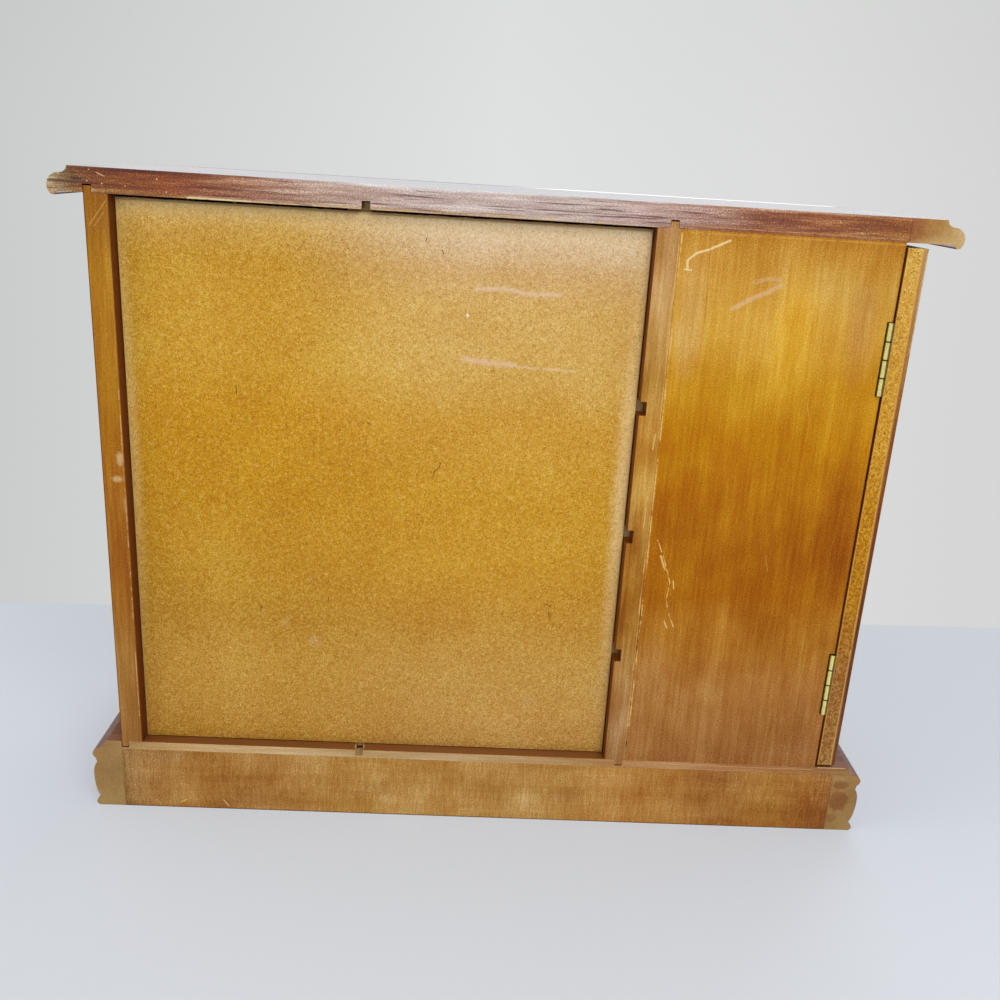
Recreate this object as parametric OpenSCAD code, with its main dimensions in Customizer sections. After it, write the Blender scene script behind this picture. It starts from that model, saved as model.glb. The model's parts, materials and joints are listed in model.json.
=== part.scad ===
// Tabletop jewellery cabinet: moulded top and plinth, a stack of four drawers between two tall bays,
// a side door hung on the back of one bay and a framed front door on the other.
// The front faces -Y, the back +Y. The origin is the centre of the footprint, on the table.

/* [Case] */
// Width over the side panel and the side door
body_w = 416; // [380:1:480]
// Depth of the case from front plane to back plane
body_d = 142; // [125:1:190]
// Clear height between the base board and the top board
case_h = 302; // [290:1:340]
// Thickness of side panel, partition, divider and side bay back
board_t = 12; // [10:0.5:15]
// Reach of the top and plinth mouldings beyond the case
overhang = 17; // [15:0.5:22]
// Clear width of the drawer bay in the middle
drawer_bay_w = 141; // [120:1:170]

/* [Top] */
// Thickness of the top board
top_t = 12; // [11:0.5:16]
// How far the edge moulding strips reach in over the case
top_strip_in = 11; // [8:0.5:14]
// Width of the rounded nose of the top moulding
nose_w = 6.2; // [5:0.1:7]
// Width of the cove above the nose
top_cove_w = 3.8; // [3:0.1:4.5]
// Height of the cove above the nose
top_cove_h = 3.4; // [2.5:0.1:4]
// How far the nose hangs below the underside of the top
beak_drop = 1.8; // [1:0.1:2]

/* [Plinth] */
// Height of the plinth mouldings and rear rail
plinth_h = 38; // [34:0.5:46]
// Thickness of the base board that lies on the plinth
base_board_t = 5; // [4.5:0.5:8]
// Thickness of the rear rail
rail_t = 12; // [9:0.5:16]
// Radius of the bead at the top of the plinth moulding
bead_r = 3.3; // [2.5:0.1:3.6]
// Leg of the triangular glue blocks inside the plinth
glue_block = 24; // [15:1:34]

/* [Case joints] */
// Thickness of the tongues on the upright boards
tongue_t = 4; // [3:0.25:5]
// Length of the tongues
tongue_l = 3.3; // [2.5:0.1:3.6]
// Depth of the slots that the tongues stand in
slot_depth = 4; // [3.8:0.1:4.4]
// How far slots and tongues stop short of the front plane
slot_setback = 14; // [8:1:24]
// Depth of the dadoes that hold the drawer shelves
dado_depth = 3.8; // [3:0.1:5]
// Fitting clearance of glued joints
fit_gap = 0.1; // [0.05:0.01:0.15]

/* [Shelves and drawers] */
// Thickness of the shelves between the drawers
shelf_t = 7.4; // [6:0.1:9]
// Height of each of the three lower drawer openings
low_opening_h = 64; // [56:0.5:68]
// Thickness of a drawer front
drawer_front_t = 12; // [10:0.5:14]
// Thickness of drawer sides and backs
drawer_wall_t = 5; // [4:0.25:7]
// Thickness of a drawer bottom
drawer_bottom_t = 3; // [2.5:0.25:4]
// Gap round a drawer front
drawer_gap = 0.8; // [0.5:0.1:1.5]
// Gap between a drawer side and the bay wall
drawer_side_gap = 1.2; // [0.8:0.1:2]
// Height of the drawer bottom above the lower edge of the drawer sides
drawer_bottom_rise = 3; // [2:0.25:6]
// Clearance above a drawer side
drawer_top_gap = 5; // [3:0.5:10]
// Clearance under a drawer and behind it
drawer_slip = 0.3; // [0.2:0.05:0.5]
// Radius of the rounded edge of a drawer front
drawer_edge_r = 2.5; // [1:0.1:4]

/* [Back] */
// Thickness of the hardboard back
hardboard_t = 3; // [2.5:0.25:5]
// How far the hardboard lies in from the back plane
back_inset = 7; // [4:0.5:10]
// Gap between the hardboard and the top board
back_gap_top = 2; // [0.5:0.1:3]
// Gap at each side of the hardboard
back_gap_side = 0.4; // [0.3:0.1:1.5]
// Radius of the eased edge of the hardboard
hardboard_edge_r = 1.2; // [0.5:0.1:1.8]

/* [Side door] */
// Thickness of the side door
side_door_t = 11; // [9:0.5:14]
// Thickness of the facing on the outside of the side door
facing_t = 2.8; // [2:0.1:3.5]
// Gap above a door
door_gap_top = 2.5; // [2.3:0.1:4]
// Gap below a door
door_gap_bottom = 1.8; // [1:0.1:4]
// Gap between a door and the board that it closes against
door_gap = 1; // [1:0.05:1.4]
// Radius of the eased outer edges of the side door
side_door_edge_r = 1.2; // [0.5:0.1:1.5]

/* [Framed fronts] */
// Thickness of the framed fronts
frame_t = 12; // [11:0.5:15]
// Width of a stile
stile_w = 22; // [18:0.5:28]
// Height of a rail
rail_h = 26; // [20:0.5:36]
// Depth of the panel groove in stiles and rails
groove_depth = 5; // [4:0.25:7]
// Width of the panel groove
groove_w = 4; // [3:0.25:5]
// Width of the bevel round the raised field
bevel_w = 13; // [8:0.5:18]
// Height of the small step at the edge of the raised field
field_step = 0.8; // [0.4:0.1:1.2]

/* [Hinges] */
// Length of a butt hinge
hinge_len = 38; // [30:0.5:44]
// Width of a hinge leaf from the pin's axis
leaf_w = 10.5; // [8:0.5:11]
// Thickness of a hinge leaf
leaf_t = 0.9; // [0.7:0.05:0.9]
// Radius of the rolled knuckles
barrel_r = 1.8; // [1.6:0.05:2]
// Radius of the hinge pin
pin_r = 0.8; // [0.6:0.05:1]
// Drop of the upper hinge's centre below the top board
upper_hinge_drop = 59; // [45:1:80]
// Rise of the lower hinge's centre above the base board
lower_hinge_rise = 55; // [45:1:80]

/* [Knobs and hooks] */
// Radius of a knob's head
knob_r = 7; // [5:0.25:9]
// How far a knob stands out
knob_l = 14.5; // [12:0.25:15]
// Number of hooks under the top board
ceiling_hook_count = 4; // [2:1:5]
// Number of pegs on the side door
peg_count = 5; // [3:1:6]
// Wire radius of hooks and pegs
hook_wire_r = 1.2; // [0.9:0.1:1.4]
// Inner radius of a ceiling hook
hook_bend_r = 4; // [3:0.25:5]
// Length of a ceiling hook's shank
hook_shank = 9; // [7:0.25:12]
// Length of a peg beyond its rail
peg_l = 13; // [9:0.5:16]
// Radius of a door magnet
magnet_r = 3; // [2.5:0.25:4]

/* [Hidden] */

knuckle_count = 4;
barrel_gap = 0.05;     // between the barrel and the board beside it
knuckle_gap = 0.1;     // between neighbouring knuckles
pin_gap = 0.05;        // radial running clearance of the pin
leaf_back_off = 0.3;   // from the barrel to where a plain leaf starts
mortise_gap = 0.3;     // at each end of a hinge mortise
leaf_sink = 0.1;       // how far a leaf lies below the edge it is let into
screw_hole_r = 1.1;
screws_per_leaf = 3;
arc_steps = 10;
tongue_inset = 1.3;    // how far the partition's tongue lies in from its outer face

case_depth = body_d + overhang + barrel_r;
y_back = case_depth / 2 - barrel_r;
y_front = y_back - body_d;
half_w = body_w / 2;
z_base = plinth_h + base_board_t;      // top face of the base board
z_top = z_base + case_h;               // underside of the top board
half_bay = drawer_bay_w / 2;
y_cavity = y_back - back_inset - hardboard_t;   // front face of the hardboard
upper_opening_h = case_h - 3 * (low_opening_h + shelf_t);
side_door_in = half_w - side_door_t;   // |x| of the side door's inner face
side_bay_in = side_door_in - door_gap; // |x| where the side bay's boards end
hang_bay_in = half_w - board_t;        // x of the side panel's inner face
door_z0 = z_base + door_gap_bottom;
door_h = case_h - door_gap_bottom - door_gap_top;
axis_off = barrel_r + barrel_gap;      // from the pin's axis to the board beside the barrel
partition_tongue_x = -(half_bay + board_t) + tongue_inset;
hinge_z = [z_base + lower_hinge_rise - hinge_len / 2, z_top - upper_hinge_drop - hinge_len / 2];
side_axis = [-(side_door_in - axis_off), y_back];
front_axis = [hang_bay_in - axis_off, y_front];

function arc(c, r, a0, a1, n = arc_steps) =
    [for (i = [0 : n]) let (a = a0 + (a1 - a0) * i / n) [c[0] + r[0] * cos(a), c[1] + r[1] * sin(a)]];

function opening_z(i) = z_base + i * (low_opening_h + shelf_t);
function opening_h(i) = i < 3 ? low_opening_h : upper_opening_h;

// Nose and coves of the top moulding: u runs outwards from the case, v up from the underside.
nose_rise = 2.5;       // height of the nose's widest line
beak_u = overhang - 2.8;
beak_flat = 0.8;       // flat under the beak
under_cove = 2.6;      // width of the cove behind it
nose_in = overhang - nose_w;
crown_h = top_t - top_cove_h - nose_rise;
crown_sweep = [10, 80];
function top_profile() = concat(
    [[-top_strip_in, 0]],
    arc([beak_u - beak_flat - under_cove, -beak_drop], [under_cove, beak_drop], 90, 0, 6),
    arc([beak_u, nose_rise], [overhang - beak_u, nose_rise + beak_drop], -90, 0, 6),
    arc([nose_in, nose_rise], [nose_w, crown_h], crown_sweep[0], crown_sweep[1], 8),
    arc([nose_in, top_t], [top_cove_w, top_cove_h], 270, 180, 6),
    [[-top_strip_in, top_t]]);

// Plinth moulding from the floor up: foot, notch, long ovolo, quirk and bead.
foot_r = 2.2;
foot_sweep = [-80, 40];
low_notch_in = 3.1;    // how deep the lower notch lies behind the nose
low_notch_v = plinth_h * 0.17;
ovolo_v = plinth_h * 0.55;
ovolo_c = overhang - 4;
ovolo_low = ovolo_v - low_notch_v + 1;
quirk_v = plinth_h - 2 * bead_r - 2.8;
ovolo_high = (quirk_v - ovolo_v) * 1.12;
ovolo_sweep = [-68, 63];
bead_c = [overhang - bead_r, plinth_h - bead_r - 0.5];
bead_sweep = [-62, 84];
function plinth_profile() = concat(
    [[0, 0]],
    arc([overhang - 0.5 - foot_r, foot_r], [foot_r, foot_r], foot_sweep[0], foot_sweep[1], 6),
    [[overhang - low_notch_in, low_notch_v]],
    arc([ovolo_c, ovolo_v], [overhang - ovolo_c, ovolo_low], ovolo_sweep[0], 0, 8),
    arc([ovolo_c, ovolo_v], [overhang - ovolo_c, ovolo_high], 8, ovolo_sweep[1], 6),
    arc(bead_c, [bead_r, bead_r], bead_sweep[0], bead_sweep[1], 8),
    [[bead_c[0] - 1, plinth_h], [0, plinth_h]]);

// Half cross-section of the base board's coved edge, above the plinth.
base_reach = overhang - 4.4;
base_lip = 1.2;
base_cove = base_board_t - base_lip;
function base_edge() = concat(
    [[base_reach, 0], [base_reach, base_lip]],
    arc([base_reach, base_board_t], [base_cove, base_cove], 270, 180, 6));

// A profile drawn in u and v, run along +Y from y0 to y1, at the right of the case.
module run_right(profile, z, y0, y1) {
    translate([half_w, y1, z]) rotate([90, 0, 0]) linear_extrude(y1 - y0) polygon(profile);
}

// The same profile run along the front of the case.
module run_front(profile, z) {
    reach = half_w + overhang;
    translate([-reach, y_front, z]) rotate([0, 0, -90]) rotate([90, 0, 0])
        translate([0, 0, -2 * reach]) linear_extrude(2 * reach) polygon(profile);
}

// Plan of a mitred side strip that reaches s in over the case.
function side_plan(s) = [[half_w - s, y_back], [half_w - s, y_front + s],
    [half_w + overhang, y_front - overhang], [half_w + overhang, y_back]];
function front_plan(s) = [[-(half_w - s), y_front + s], [half_w - s, y_front + s],
    [half_w + overhang, y_front - overhang], [-(half_w + overhang), y_front - overhang]];

module plan_prism(plan, z0, z1) {
    translate([0, 0, z0]) linear_extrude(z1 - z0) polygon(plan);
}

module top_side_strip() {
    intersection() {
        run_right(top_profile(), z_top, y_front - overhang, y_back);
        plan_prism(side_plan(top_strip_in), z_top - beak_drop - 1, z_top + top_t + 1);
    }
}

// Slot for a tongue: x0 to x1, stopped short of the front and open at the back.
module slot(x0, x1, z0, z1) {
    translate([x0 - fit_gap, y_front + slot_setback, z0])
        cube([x1 - x0 + 2 * fit_gap, body_d - slot_setback + 1, z1 - z0]);
}

module top_slots() {
    slot(hang_bay_in + board_t - tongue_t, half_w, z_top - 1, z_top + slot_depth);
    slot(partition_tongue_x, partition_tongue_x + tongue_t, z_top - 1, z_top + slot_depth);
    slot(half_bay, half_bay + tongue_t, z_top - 1, z_top + slot_depth);
}

module base_slots() {
    slot(half_w - tongue_t, half_w, z_base - slot_depth, z_base + 1);
    slot(partition_tongue_x, partition_tongue_x + tongue_t, z_base - slot_depth, z_base + 1);
    slot(half_bay, half_bay + tongue_t, z_base - slot_depth, z_base + 1);
}

module top_board() {
    core_w = body_w - 2 * top_strip_in;
    color("#8a4a2c") difference() {
        translate([-core_w / 2, y_front + top_strip_in, z_top])
            cube([core_w, body_d - top_strip_in, top_t]);
        top_slots();
    }
}

module top_moulding_right() {
    color("#84452a") difference() {
        top_side_strip();
        top_slots();
    }
}

module top_moulding_left() {
    color("#84452a") mirror([1, 0, 0]) top_side_strip();
}

module top_moulding_front() {
    color("#84452a") difference() {
        intersection() {
            run_front(top_profile(), z_top);
            plan_prism(front_plan(top_strip_in), z_top - beak_drop - 1, z_top + top_t + 1);
        }
        top_slots();
    }
}

module base_board() {
    half_edge = [for (p = base_edge()) [p[0] + half_w, p[1]]];
    other_edge = [for (i = [len(half_edge) - 1 : -1 : 0]) [-half_edge[i][0], half_edge[i][1]]];
    reach = half_w + base_reach;
    front_edge = [for (p = base_edge()) [p[0] - y_front, p[1]]];
    color("#9a5a30") difference() {
        intersection() {
            translate([0, y_back, plinth_h]) rotate([90, 0, 0])
                linear_extrude(body_d + base_reach) polygon(concat(half_edge, other_edge));
            translate([-reach, 0, plinth_h]) rotate([0, 0, -90]) rotate([90, 0, 0])
                translate([0, 0, -2 * reach]) linear_extrude(2 * reach)
                    polygon(concat(front_edge, [[-y_back, base_board_t], [-y_back, 0]]));
        }
        base_slots();
    }
}

module plinth_side() {
    intersection() {
        run_right(plinth_profile(), 0, y_front - overhang, y_back);
        plan_prism(side_plan(0), -1, plinth_h + 1);
    }
}

module plinth_moulding_right() {
    color("#8a5030") plinth_side();
}

module plinth_moulding_left() {
    color("#8a5030") mirror([1, 0, 0]) plinth_side();
}

module plinth_moulding_front() {
    color("#8a5030") intersection() {
        run_front(plinth_profile(), 0);
        plan_prism(front_plan(0), -1, plinth_h + 1);
    }
}

module plinth_rear_rail() {
    color("#b07838") translate([-half_w, y_back - rail_t, 0]) cube([body_w, rail_t, plinth_h]);
}

// Glue blocks in the four corners of the plinth, held up off the table.
module plinth_corner_blocks() {
    lift = 6;
    block = [[0, 0], [glue_block, 0], [0, glue_block]];
    color("#c9a46c") for (side = [-1, 1]) {
        translate([side * half_w, y_front, lift]) mirror([side > 0 ? 1 : 0, 0, 0])
            linear_extrude(plinth_h - lift) polygon(block);
        translate([side * half_w, y_back - rail_t, lift]) mirror([side > 0 ? 1 : 0, 0, 0])
            mirror([0, 1, 0]) linear_extrude(plinth_h - lift) polygon(block);
    }
}

// Upright board with a tongue top and bottom, both flush with one face.
module upright(x0, x1, tongue_x0, y1) {
    translate([x0, y_front, z_base]) cube([x1 - x0, y1 - y_front, case_h]);
    translate([tongue_x0, y_front + slot_setback + fit_gap, z_base - tongue_l])
        cube([tongue_t, y1 - y_front - slot_setback - fit_gap, case_h + 2 * tongue_l]);
}

module side_panel() {
    color("#9c5c2c") upright(hang_bay_in, half_w, half_w - tongue_t, y_back);
}

module shelf_dadoes(x0) {
    for (i = [0 : 2])
        translate([x0, y_front - 1, opening_z(i) + low_opening_h])
            cube([dado_depth + 1, body_d + 2, shelf_t]);
}

module partition() {
    color("#a8642f") difference() {
        upright(-(half_bay + board_t), -half_bay, partition_tongue_x, y_back);
        shelf_dadoes(-half_bay - dado_depth);
    }
}

module divider() {
    color("#a8642f") difference() {
        upright(half_bay, half_bay + board_t, half_bay, y_cavity);
        shelf_dadoes(half_bay - 1);
    }
}

module shelf(i) {
    reach = half_bay + dado_depth - fit_gap;
    color("#b07838") translate([-reach, y_front, opening_z(i) + low_opening_h])
        cube([2 * reach, y_cavity - y_front, shelf_t]);
}

// Rectangle whose two corners at y0 are rounded, seen along one edge of a board.
function eased(a0, a1, y0, y1, r) = concat(
    [[a0, y1]], arc([a0 + r, y0 + r], [r, r], 180, 270, 6),
    arc([a1 - r, y0 + r], [r, r], 270, 360, 6), [[a1, y1]]);

// Board in the XZ plane with all four edges of its face at y0 rounded.
module eased_board(x0, x1, z0, z1, y0, y1, r) {
    intersection() {
        translate([0, 0, z0]) linear_extrude(z1 - z0) polygon(eased(x0, x1, y0, y1, r));
        translate([x0, 0, 0]) rotate([90, 0, 90]) linear_extrude(x1 - x0)
            polygon([for (p = eased(z0, z1, y0, y1, r)) [p[1], p[0]]]);
    }
}

module hardboard_back() {
    outer = y_back - back_inset;
    color("#c08a34") mirror([0, 1, 0])
        eased_board(-half_bay + back_gap_side, hang_bay_in - back_gap_side, z_base,
            z_top - back_gap_top, -outer, -y_cavity, hardboard_edge_r);
}

// Room cut in the board whose edge takes a hinge: a mortise for the leaf and a notch for the barrel.
module hinge_room() {
    edge = axis_off - door_gap;
    deep = edge - leaf_t - leaf_sink;
    notch = barrel_r + leaf_back_off;
    for (z = hinge_z) {
        translate([-edge - 1, -leaf_w, z - mortise_gap])
            cube([edge + 1 - deep, leaf_w + 1, hinge_len + 2 * mortise_gap]);
        translate([-edge - 1, -notch, z - mortise_gap])
            cube([edge + 1 + notch, notch + 1, hinge_len + 2 * mortise_gap]);
    }
}

module hinge_leaf(x0, own) {
    pitch = hinge_len / knuckle_count;
    start = barrel_r + leaf_back_off;
    difference() {
        union() {
            translate([x0, -leaf_w, 0]) cube([leaf_t, leaf_w - start, hinge_len]);
            for (k = own) {
                translate([0, 0, k * pitch + knuckle_gap / 2])
                    cylinder(r = barrel_r, h = pitch - knuckle_gap, $fn = 48);
                translate([x0, -start - 0.1, k * pitch + knuckle_gap / 2])
                    cube([leaf_t, start + 0.1, pitch - knuckle_gap]);
            }
        }
        translate([0, 0, -1]) cylinder(r = pin_r + pin_gap, h = hinge_len + 2, $fn = 48);
        for (s = [1 : screws_per_leaf])
            translate([x0 - 1, -(leaf_w + start) / 2, hinge_len * (s - 0.5) / screws_per_leaf])
                rotate([0, 90, 0]) cylinder(r = screw_hole_r, h = leaf_t + 2, $fn = 24);
    }
}

// Leaf let into the edge of a board, and leaf laid on the face of the board beside it.
module edge_leaves() {
    for (z = hinge_z) translate([0, 0, z]) hinge_leaf(leaf_sink + door_gap - axis_off, [0, 2]);
}

module face_leaves() {
    for (z = hinge_z) translate([0, 0, z]) hinge_leaf(-axis_off, [1, 3]);
}

module at_side_axis() {
    translate([side_axis[0], side_axis[1], 0]) children();
}

module at_front_axis() {
    translate([front_axis[0], front_axis[1], 0]) rotate([0, 0, 180]) children();
}

module side_bay_back() {
    color("#b5772c") difference() {
        translate([-side_bay_in, y_back - board_t, z_base])
            cube([side_bay_in - half_bay - board_t, board_t, case_h]);
        at_side_axis() hinge_room();
    }
}

module side_door_panel() {
    color("#a8683a") difference() {
        translate([-half_w + facing_t, y_front, door_z0])
            cube([side_door_t - facing_t, body_d, door_h]);
        side_strike(fit_gap);
    }
}

// Thick facing on the outside of the door, eased at the front and rear edges.
module side_door_facing() {
    plan = eased(-y_back, -y_front, 0, facing_t, side_door_edge_r);
    color("#8e4c28") translate([-half_w, 0, door_z0]) linear_extrude(door_h)
        polygon([for (p = plan) [p[1], -p[0]]]);
}

module side_door_hinge_fixed_leaves() {
    color("#c9b25e") at_side_axis() edge_leaves();
}

module side_door_hinge_moving_leaves() {
    color("#c9b25e") at_side_axis() face_leaves();
}

module front_door_hinge_fixed_leaves() {
    color("#c9b25e") at_front_axis() face_leaves();
}

module front_door_hinge_moving_leaves() {
    color("#c9b25e") at_front_axis() edge_leaves();
}

module hinge_pins() {
    color("#a8945a") for (a = [side_axis, front_axis], z = hinge_z)
        translate([a[0], a[1], z]) cylinder(r = pin_r, h = hinge_len, $fn = 48);
}

// Frame-and-panel front from x0 to x1, z0 upwards, its face on the front plane.
groove_y = (frame_t - groove_w) / 2;

module frame_stiles(x0, x1, z0, h) {
    for (side = [0, 1]) {
        x = side == 0 ? x0 : x1 - stile_w;
        gx = side == 0 ? x0 + stile_w - groove_depth : x1 - stile_w - 1;
        difference() {
            translate([x, y_front, z0]) cube([stile_w, frame_t, h]);
            translate([gx, y_front + groove_y, z0 - 1]) cube([groove_depth + 1, groove_w, h + 2]);
        }
    }
}

module frame_rails(x0, x1, z0, h) {
    inner = x1 - x0 - 2 * stile_w;
    tenon = groove_depth - fit_gap;
    for (side = [0, 1]) {
        z = side == 0 ? z0 : z0 + h - rail_h;
        gz = side == 0 ? z0 + rail_h - groove_depth : z0 + h - rail_h - 1;
        difference() {
            union() {
                translate([x0 + stile_w, y_front, z]) cube([inner, frame_t, rail_h]);
                translate([x0 + stile_w - tenon, y_front + groove_y + fit_gap / 2, z])
                    cube([inner + 2 * tenon, groove_w - fit_gap, rail_h]);
            }
            translate([x0, y_front + groove_y, gz]) cube([x1 - x0, groove_w, groove_depth + 1]);
        }
    }
}

field_inset = 0.6;     // how far the raised field lies behind the front plane

// Section of a raised panel from a0 to a1: tongue, bevel, small step, field.
function raised_section(a0, a1) =
    let (tongue = groove_depth - 4 * fit_gap, y1 = frame_t - groove_y - fit_gap,
        y0 = groove_y + fit_gap, field = y_front + field_inset)
    [[a0 - tongue, y_front + y1], [a0 - tongue, y_front + y0], [a0 + 1, y_front + y0],
        [a0 + bevel_w, field + field_step], [a0 + bevel_w, field],
        [a1 - bevel_w, field], [a1 - bevel_w, field + field_step],
        [a1 - 1, y_front + y0], [a1 + tongue, y_front + y0], [a1 + tongue, y_front + y1]];

module raised_panel(x0, x1, z0, h) {
    a0 = x0 + stile_w;
    a1 = x1 - stile_w;
    b0 = z0 + rail_h;
    b1 = z0 + h - rail_h;
    intersection() {
        translate([0, 0, z0]) linear_extrude(h) polygon(raised_section(a0, a1));
        translate([x0, 0, 0]) rotate([90, 0, 90]) linear_extrude(x1 - x0)
            polygon([for (p = raised_section(b0, b1)) [p[1], p[0]]]);
    }
}

fixed_x = [-side_bay_in, -(half_bay + board_t)];
door_x = [half_bay + board_t + door_gap, hang_bay_in - door_gap];
catch_z = z_base + case_h / 2;         // height of the doors' magnets and knobs
side_knob_in = 22;     // from the front plane to the side door's knob
magnet_air = 0.3;      // between a magnet and the door's strike
magnet_l = 10;
strike_t = 1;

module fixed_front_stiles() {
    color("#92502b") difference() {
        frame_stiles(fixed_x[0], fixed_x[1], z_base, case_h);
        side_magnet(0);
    }
}

module fixed_front_rails() {
    color("#92502b") frame_rails(fixed_x[0], fixed_x[1], z_base, case_h);
}

module fixed_front_panel() {
    color("#9a562e") raised_panel(fixed_x[0], fixed_x[1], z_base, case_h);
}

module front_door_stiles() {
    color("#92502b") difference() {
        frame_stiles(door_x[0], door_x[1], door_z0, door_h);
        at_front_axis() hinge_room();
        front_strike(fit_gap);
    }
}

module front_door_rails() {
    color("#92502b") frame_rails(door_x[0], door_x[1], door_z0, door_h);
}

module front_door_panel() {
    color("#9a562e") raised_panel(door_x[0], door_x[1], door_z0, door_h);
}

// Round magnet let into the edge of the fixed front, facing the side door.
module side_magnet(stand_out) {
    translate([-side_bay_in - stand_out, y_front + frame_t / 2, catch_z])
        rotate([0, 90, 0]) cylinder(r = magnet_r, h = magnet_l + stand_out, $fn = 48);
}

module side_strike(grow) {
    translate([-side_door_in - strike_t, y_front + frame_t / 2, catch_z])
        rotate([0, 90, 0]) cylinder(r = magnet_r + 1 + grow, h = strike_t + grow, $fn = 48);
}

// Block on the divider that the front door closes against, with its magnet.
stop_w = 12;
stop_h = 40;
stop_d = 14;
strike_x = half_bay + board_t + stop_w / 2;

module front_magnet(stand_out) {
    translate([strike_x, y_front + frame_t + door_gap / 2 - stand_out, catch_z])
        rotate([-90, 0, 0]) cylinder(r = magnet_r, h = magnet_l + stand_out, $fn = 48);
}

module front_strike(grow) {
    translate([strike_x, y_front + frame_t - strike_t - grow, catch_z])
        rotate([-90, 0, 0]) cylinder(r = magnet_r + 1 + grow, h = strike_t + grow, $fn = 48);
}

module front_door_stop() {
    color("#a8642f") difference() {
        translate([half_bay + board_t, y_front + frame_t + door_gap / 2, catch_z - stop_h / 2])
            cube([stop_w, stop_d, stop_h]);
        front_magnet(1);
    }
}

module door_magnets() {
    color("#8c8c90") {
        side_magnet(door_gap - magnet_air);
        front_magnet(door_gap / 2 - magnet_air);
    }
}

// Turned knob along +Z: foot, waist and rounded head.
module knob() {
    foot = 0.75 * knob_r;
    waist = 0.42 * knob_r;
    head_h = 0.5 * knob_l;
    rotate_extrude($fn = 64) polygon(concat(
        [[0, 0], [foot, 0], [foot, 1.2]],
        arc([foot, knob_l - head_h], [foot - waist, knob_l - head_h - 1.2], 270, 180, 6),
        arc([0, knob_l - head_h * 0.45], [knob_r, head_h * 0.55], -55, 0, 5),
        arc([0, knob_l - head_h * 0.45], [knob_r, head_h * 0.45], 10, 90, 8)));
}

module side_door_knob() {
    color("#c9b25e") translate([-half_w, y_front + side_knob_in, catch_z])
        rotate([0, -90, 0]) knob();
}

module front_door_knob() {
    color("#c9b25e") translate([door_x[0] + stile_w / 2, y_front, catch_z])
        rotate([90, 0, 0]) knob();
}

module side_door_strike() {
    color("#8c8c90") side_strike(0);
}

module front_door_strike() {
    color("#8c8c90") front_strike(0);
}

peg_rail = [8, 96, 14];
peg_rail_drop = 44;    // from the top board to the rail's lower edge
peg_rail_off = 8;      // between the side bay's back and the rail's end
peg_rail_z = z_top - peg_rail_drop;
peg_y0 = y_back - board_t - peg_rail_off - peg_rail[1];

module side_door_peg_rail() {
    color("#a8642f") translate([-side_door_in, peg_y0, peg_rail_z]) cube(peg_rail);
}

module side_door_pegs() {
    step = peg_rail[1] / peg_count;
    ball = hook_wire_r * 1.7;
    x = -side_door_in + peg_rail[0];
    z = peg_rail_z + peg_rail[2] / 2;
    color("#c9b25e") for (i = [0 : peg_count - 1])
        translate([x, peg_y0 + step * (i + 0.5), z])
            rotate([0, 90, 0]) {
                cylinder(r = hook_wire_r, h = peg_l, $fn = 32);
                translate([0, 0, peg_l]) sphere(r = ball, $fn = 32);
            }
}

// Wire hooks that hang from the underside of the top board over the tall bay.
hook_tip = 3;          // straight rise before the ball at the tip
hook_collar_t = 1.2;
hook_off = 8;          // how far the hooks hang behind the middle of the bay

module ceiling_hooks() {
    bay_c = (half_bay + board_t + hang_bay_in) / 2;
    bay_w = hang_bay_in - half_bay - board_t;
    step = bay_w / (ceiling_hook_count + 0.5);
    first = bay_c - step * (ceiling_hook_count - 1) / 2;
    bend = hook_bend_r + hook_wire_r;
    hook_y = (y_front + y_cavity) / 2 + hook_off;
    color("#c9b25e") for (i = [0 : ceiling_hook_count - 1])
        translate([first + step * i, hook_y, z_top - hook_shank]) {
            cylinder(r = hook_wire_r, h = hook_shank, $fn = 32);
            translate([0, 0, hook_shank - hook_collar_t])
                cylinder(r = hook_wire_r * 2.2, h = hook_collar_t, $fn = 32);
            translate([0, -bend, 0]) rotate([0, 90, 0]) rotate([0, 0, -90])
                rotate_extrude(angle = 180, $fn = 48) translate([bend, 0])
                    circle(r = hook_wire_r, $fn = 24);
            translate([0, -2 * bend, 0]) cylinder(r = hook_wire_r, h = hook_tip, $fn = 32);
            translate([0, -2 * bend, hook_tip]) sphere(r = hook_wire_r * 1.5, $fn = 32);
        }
}

drawer_half = half_bay - drawer_side_gap;
drawer_end = y_cavity - drawer_slip;
tail = 4;              // how far the sides are let into the drawer front

function drawer_box_z(i) = opening_z(i) + drawer_slip;
function drawer_box_h(i) = opening_h(i) - drawer_slip - drawer_top_gap;

module drawer_bottom_slab(i, grow) {
    groove = drawer_wall_t / 2;
    translate([-(drawer_half - drawer_wall_t + groove), y_front + drawer_front_t - tail - grow,
        drawer_box_z(i) + drawer_bottom_rise - grow / 2])
        cube([2 * (drawer_half - drawer_wall_t + groove), drawer_end - y_front - drawer_front_t + tail
            - (grow > 0 ? 0 : fit_gap) + grow, drawer_bottom_t + grow]);
}

module drawer_front(i) {
    z0 = opening_z(i) + drawer_gap;
    over = i < 3 ? drawer_gap : drawer_gap + beak_drop;    // the top front passes under the beak
    z1 = opening_z(i) + opening_h(i) - over;
    color("#9a562e") difference() {
        eased_board(-(half_bay - drawer_gap), half_bay - drawer_gap, z0, z1,
            y_front, y_front + drawer_front_t, drawer_edge_r);
        for (side = [-1, 1])
            translate([side * (drawer_half - drawer_wall_t / 2) - drawer_wall_t / 2 - fit_gap / 2,
                y_front + drawer_front_t - tail, z0 - 1])
                cube([drawer_wall_t + fit_gap, tail + 1, z1 - z0 + 2]);
        drawer_bottom_slab(i, fit_gap);
    }
}

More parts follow.
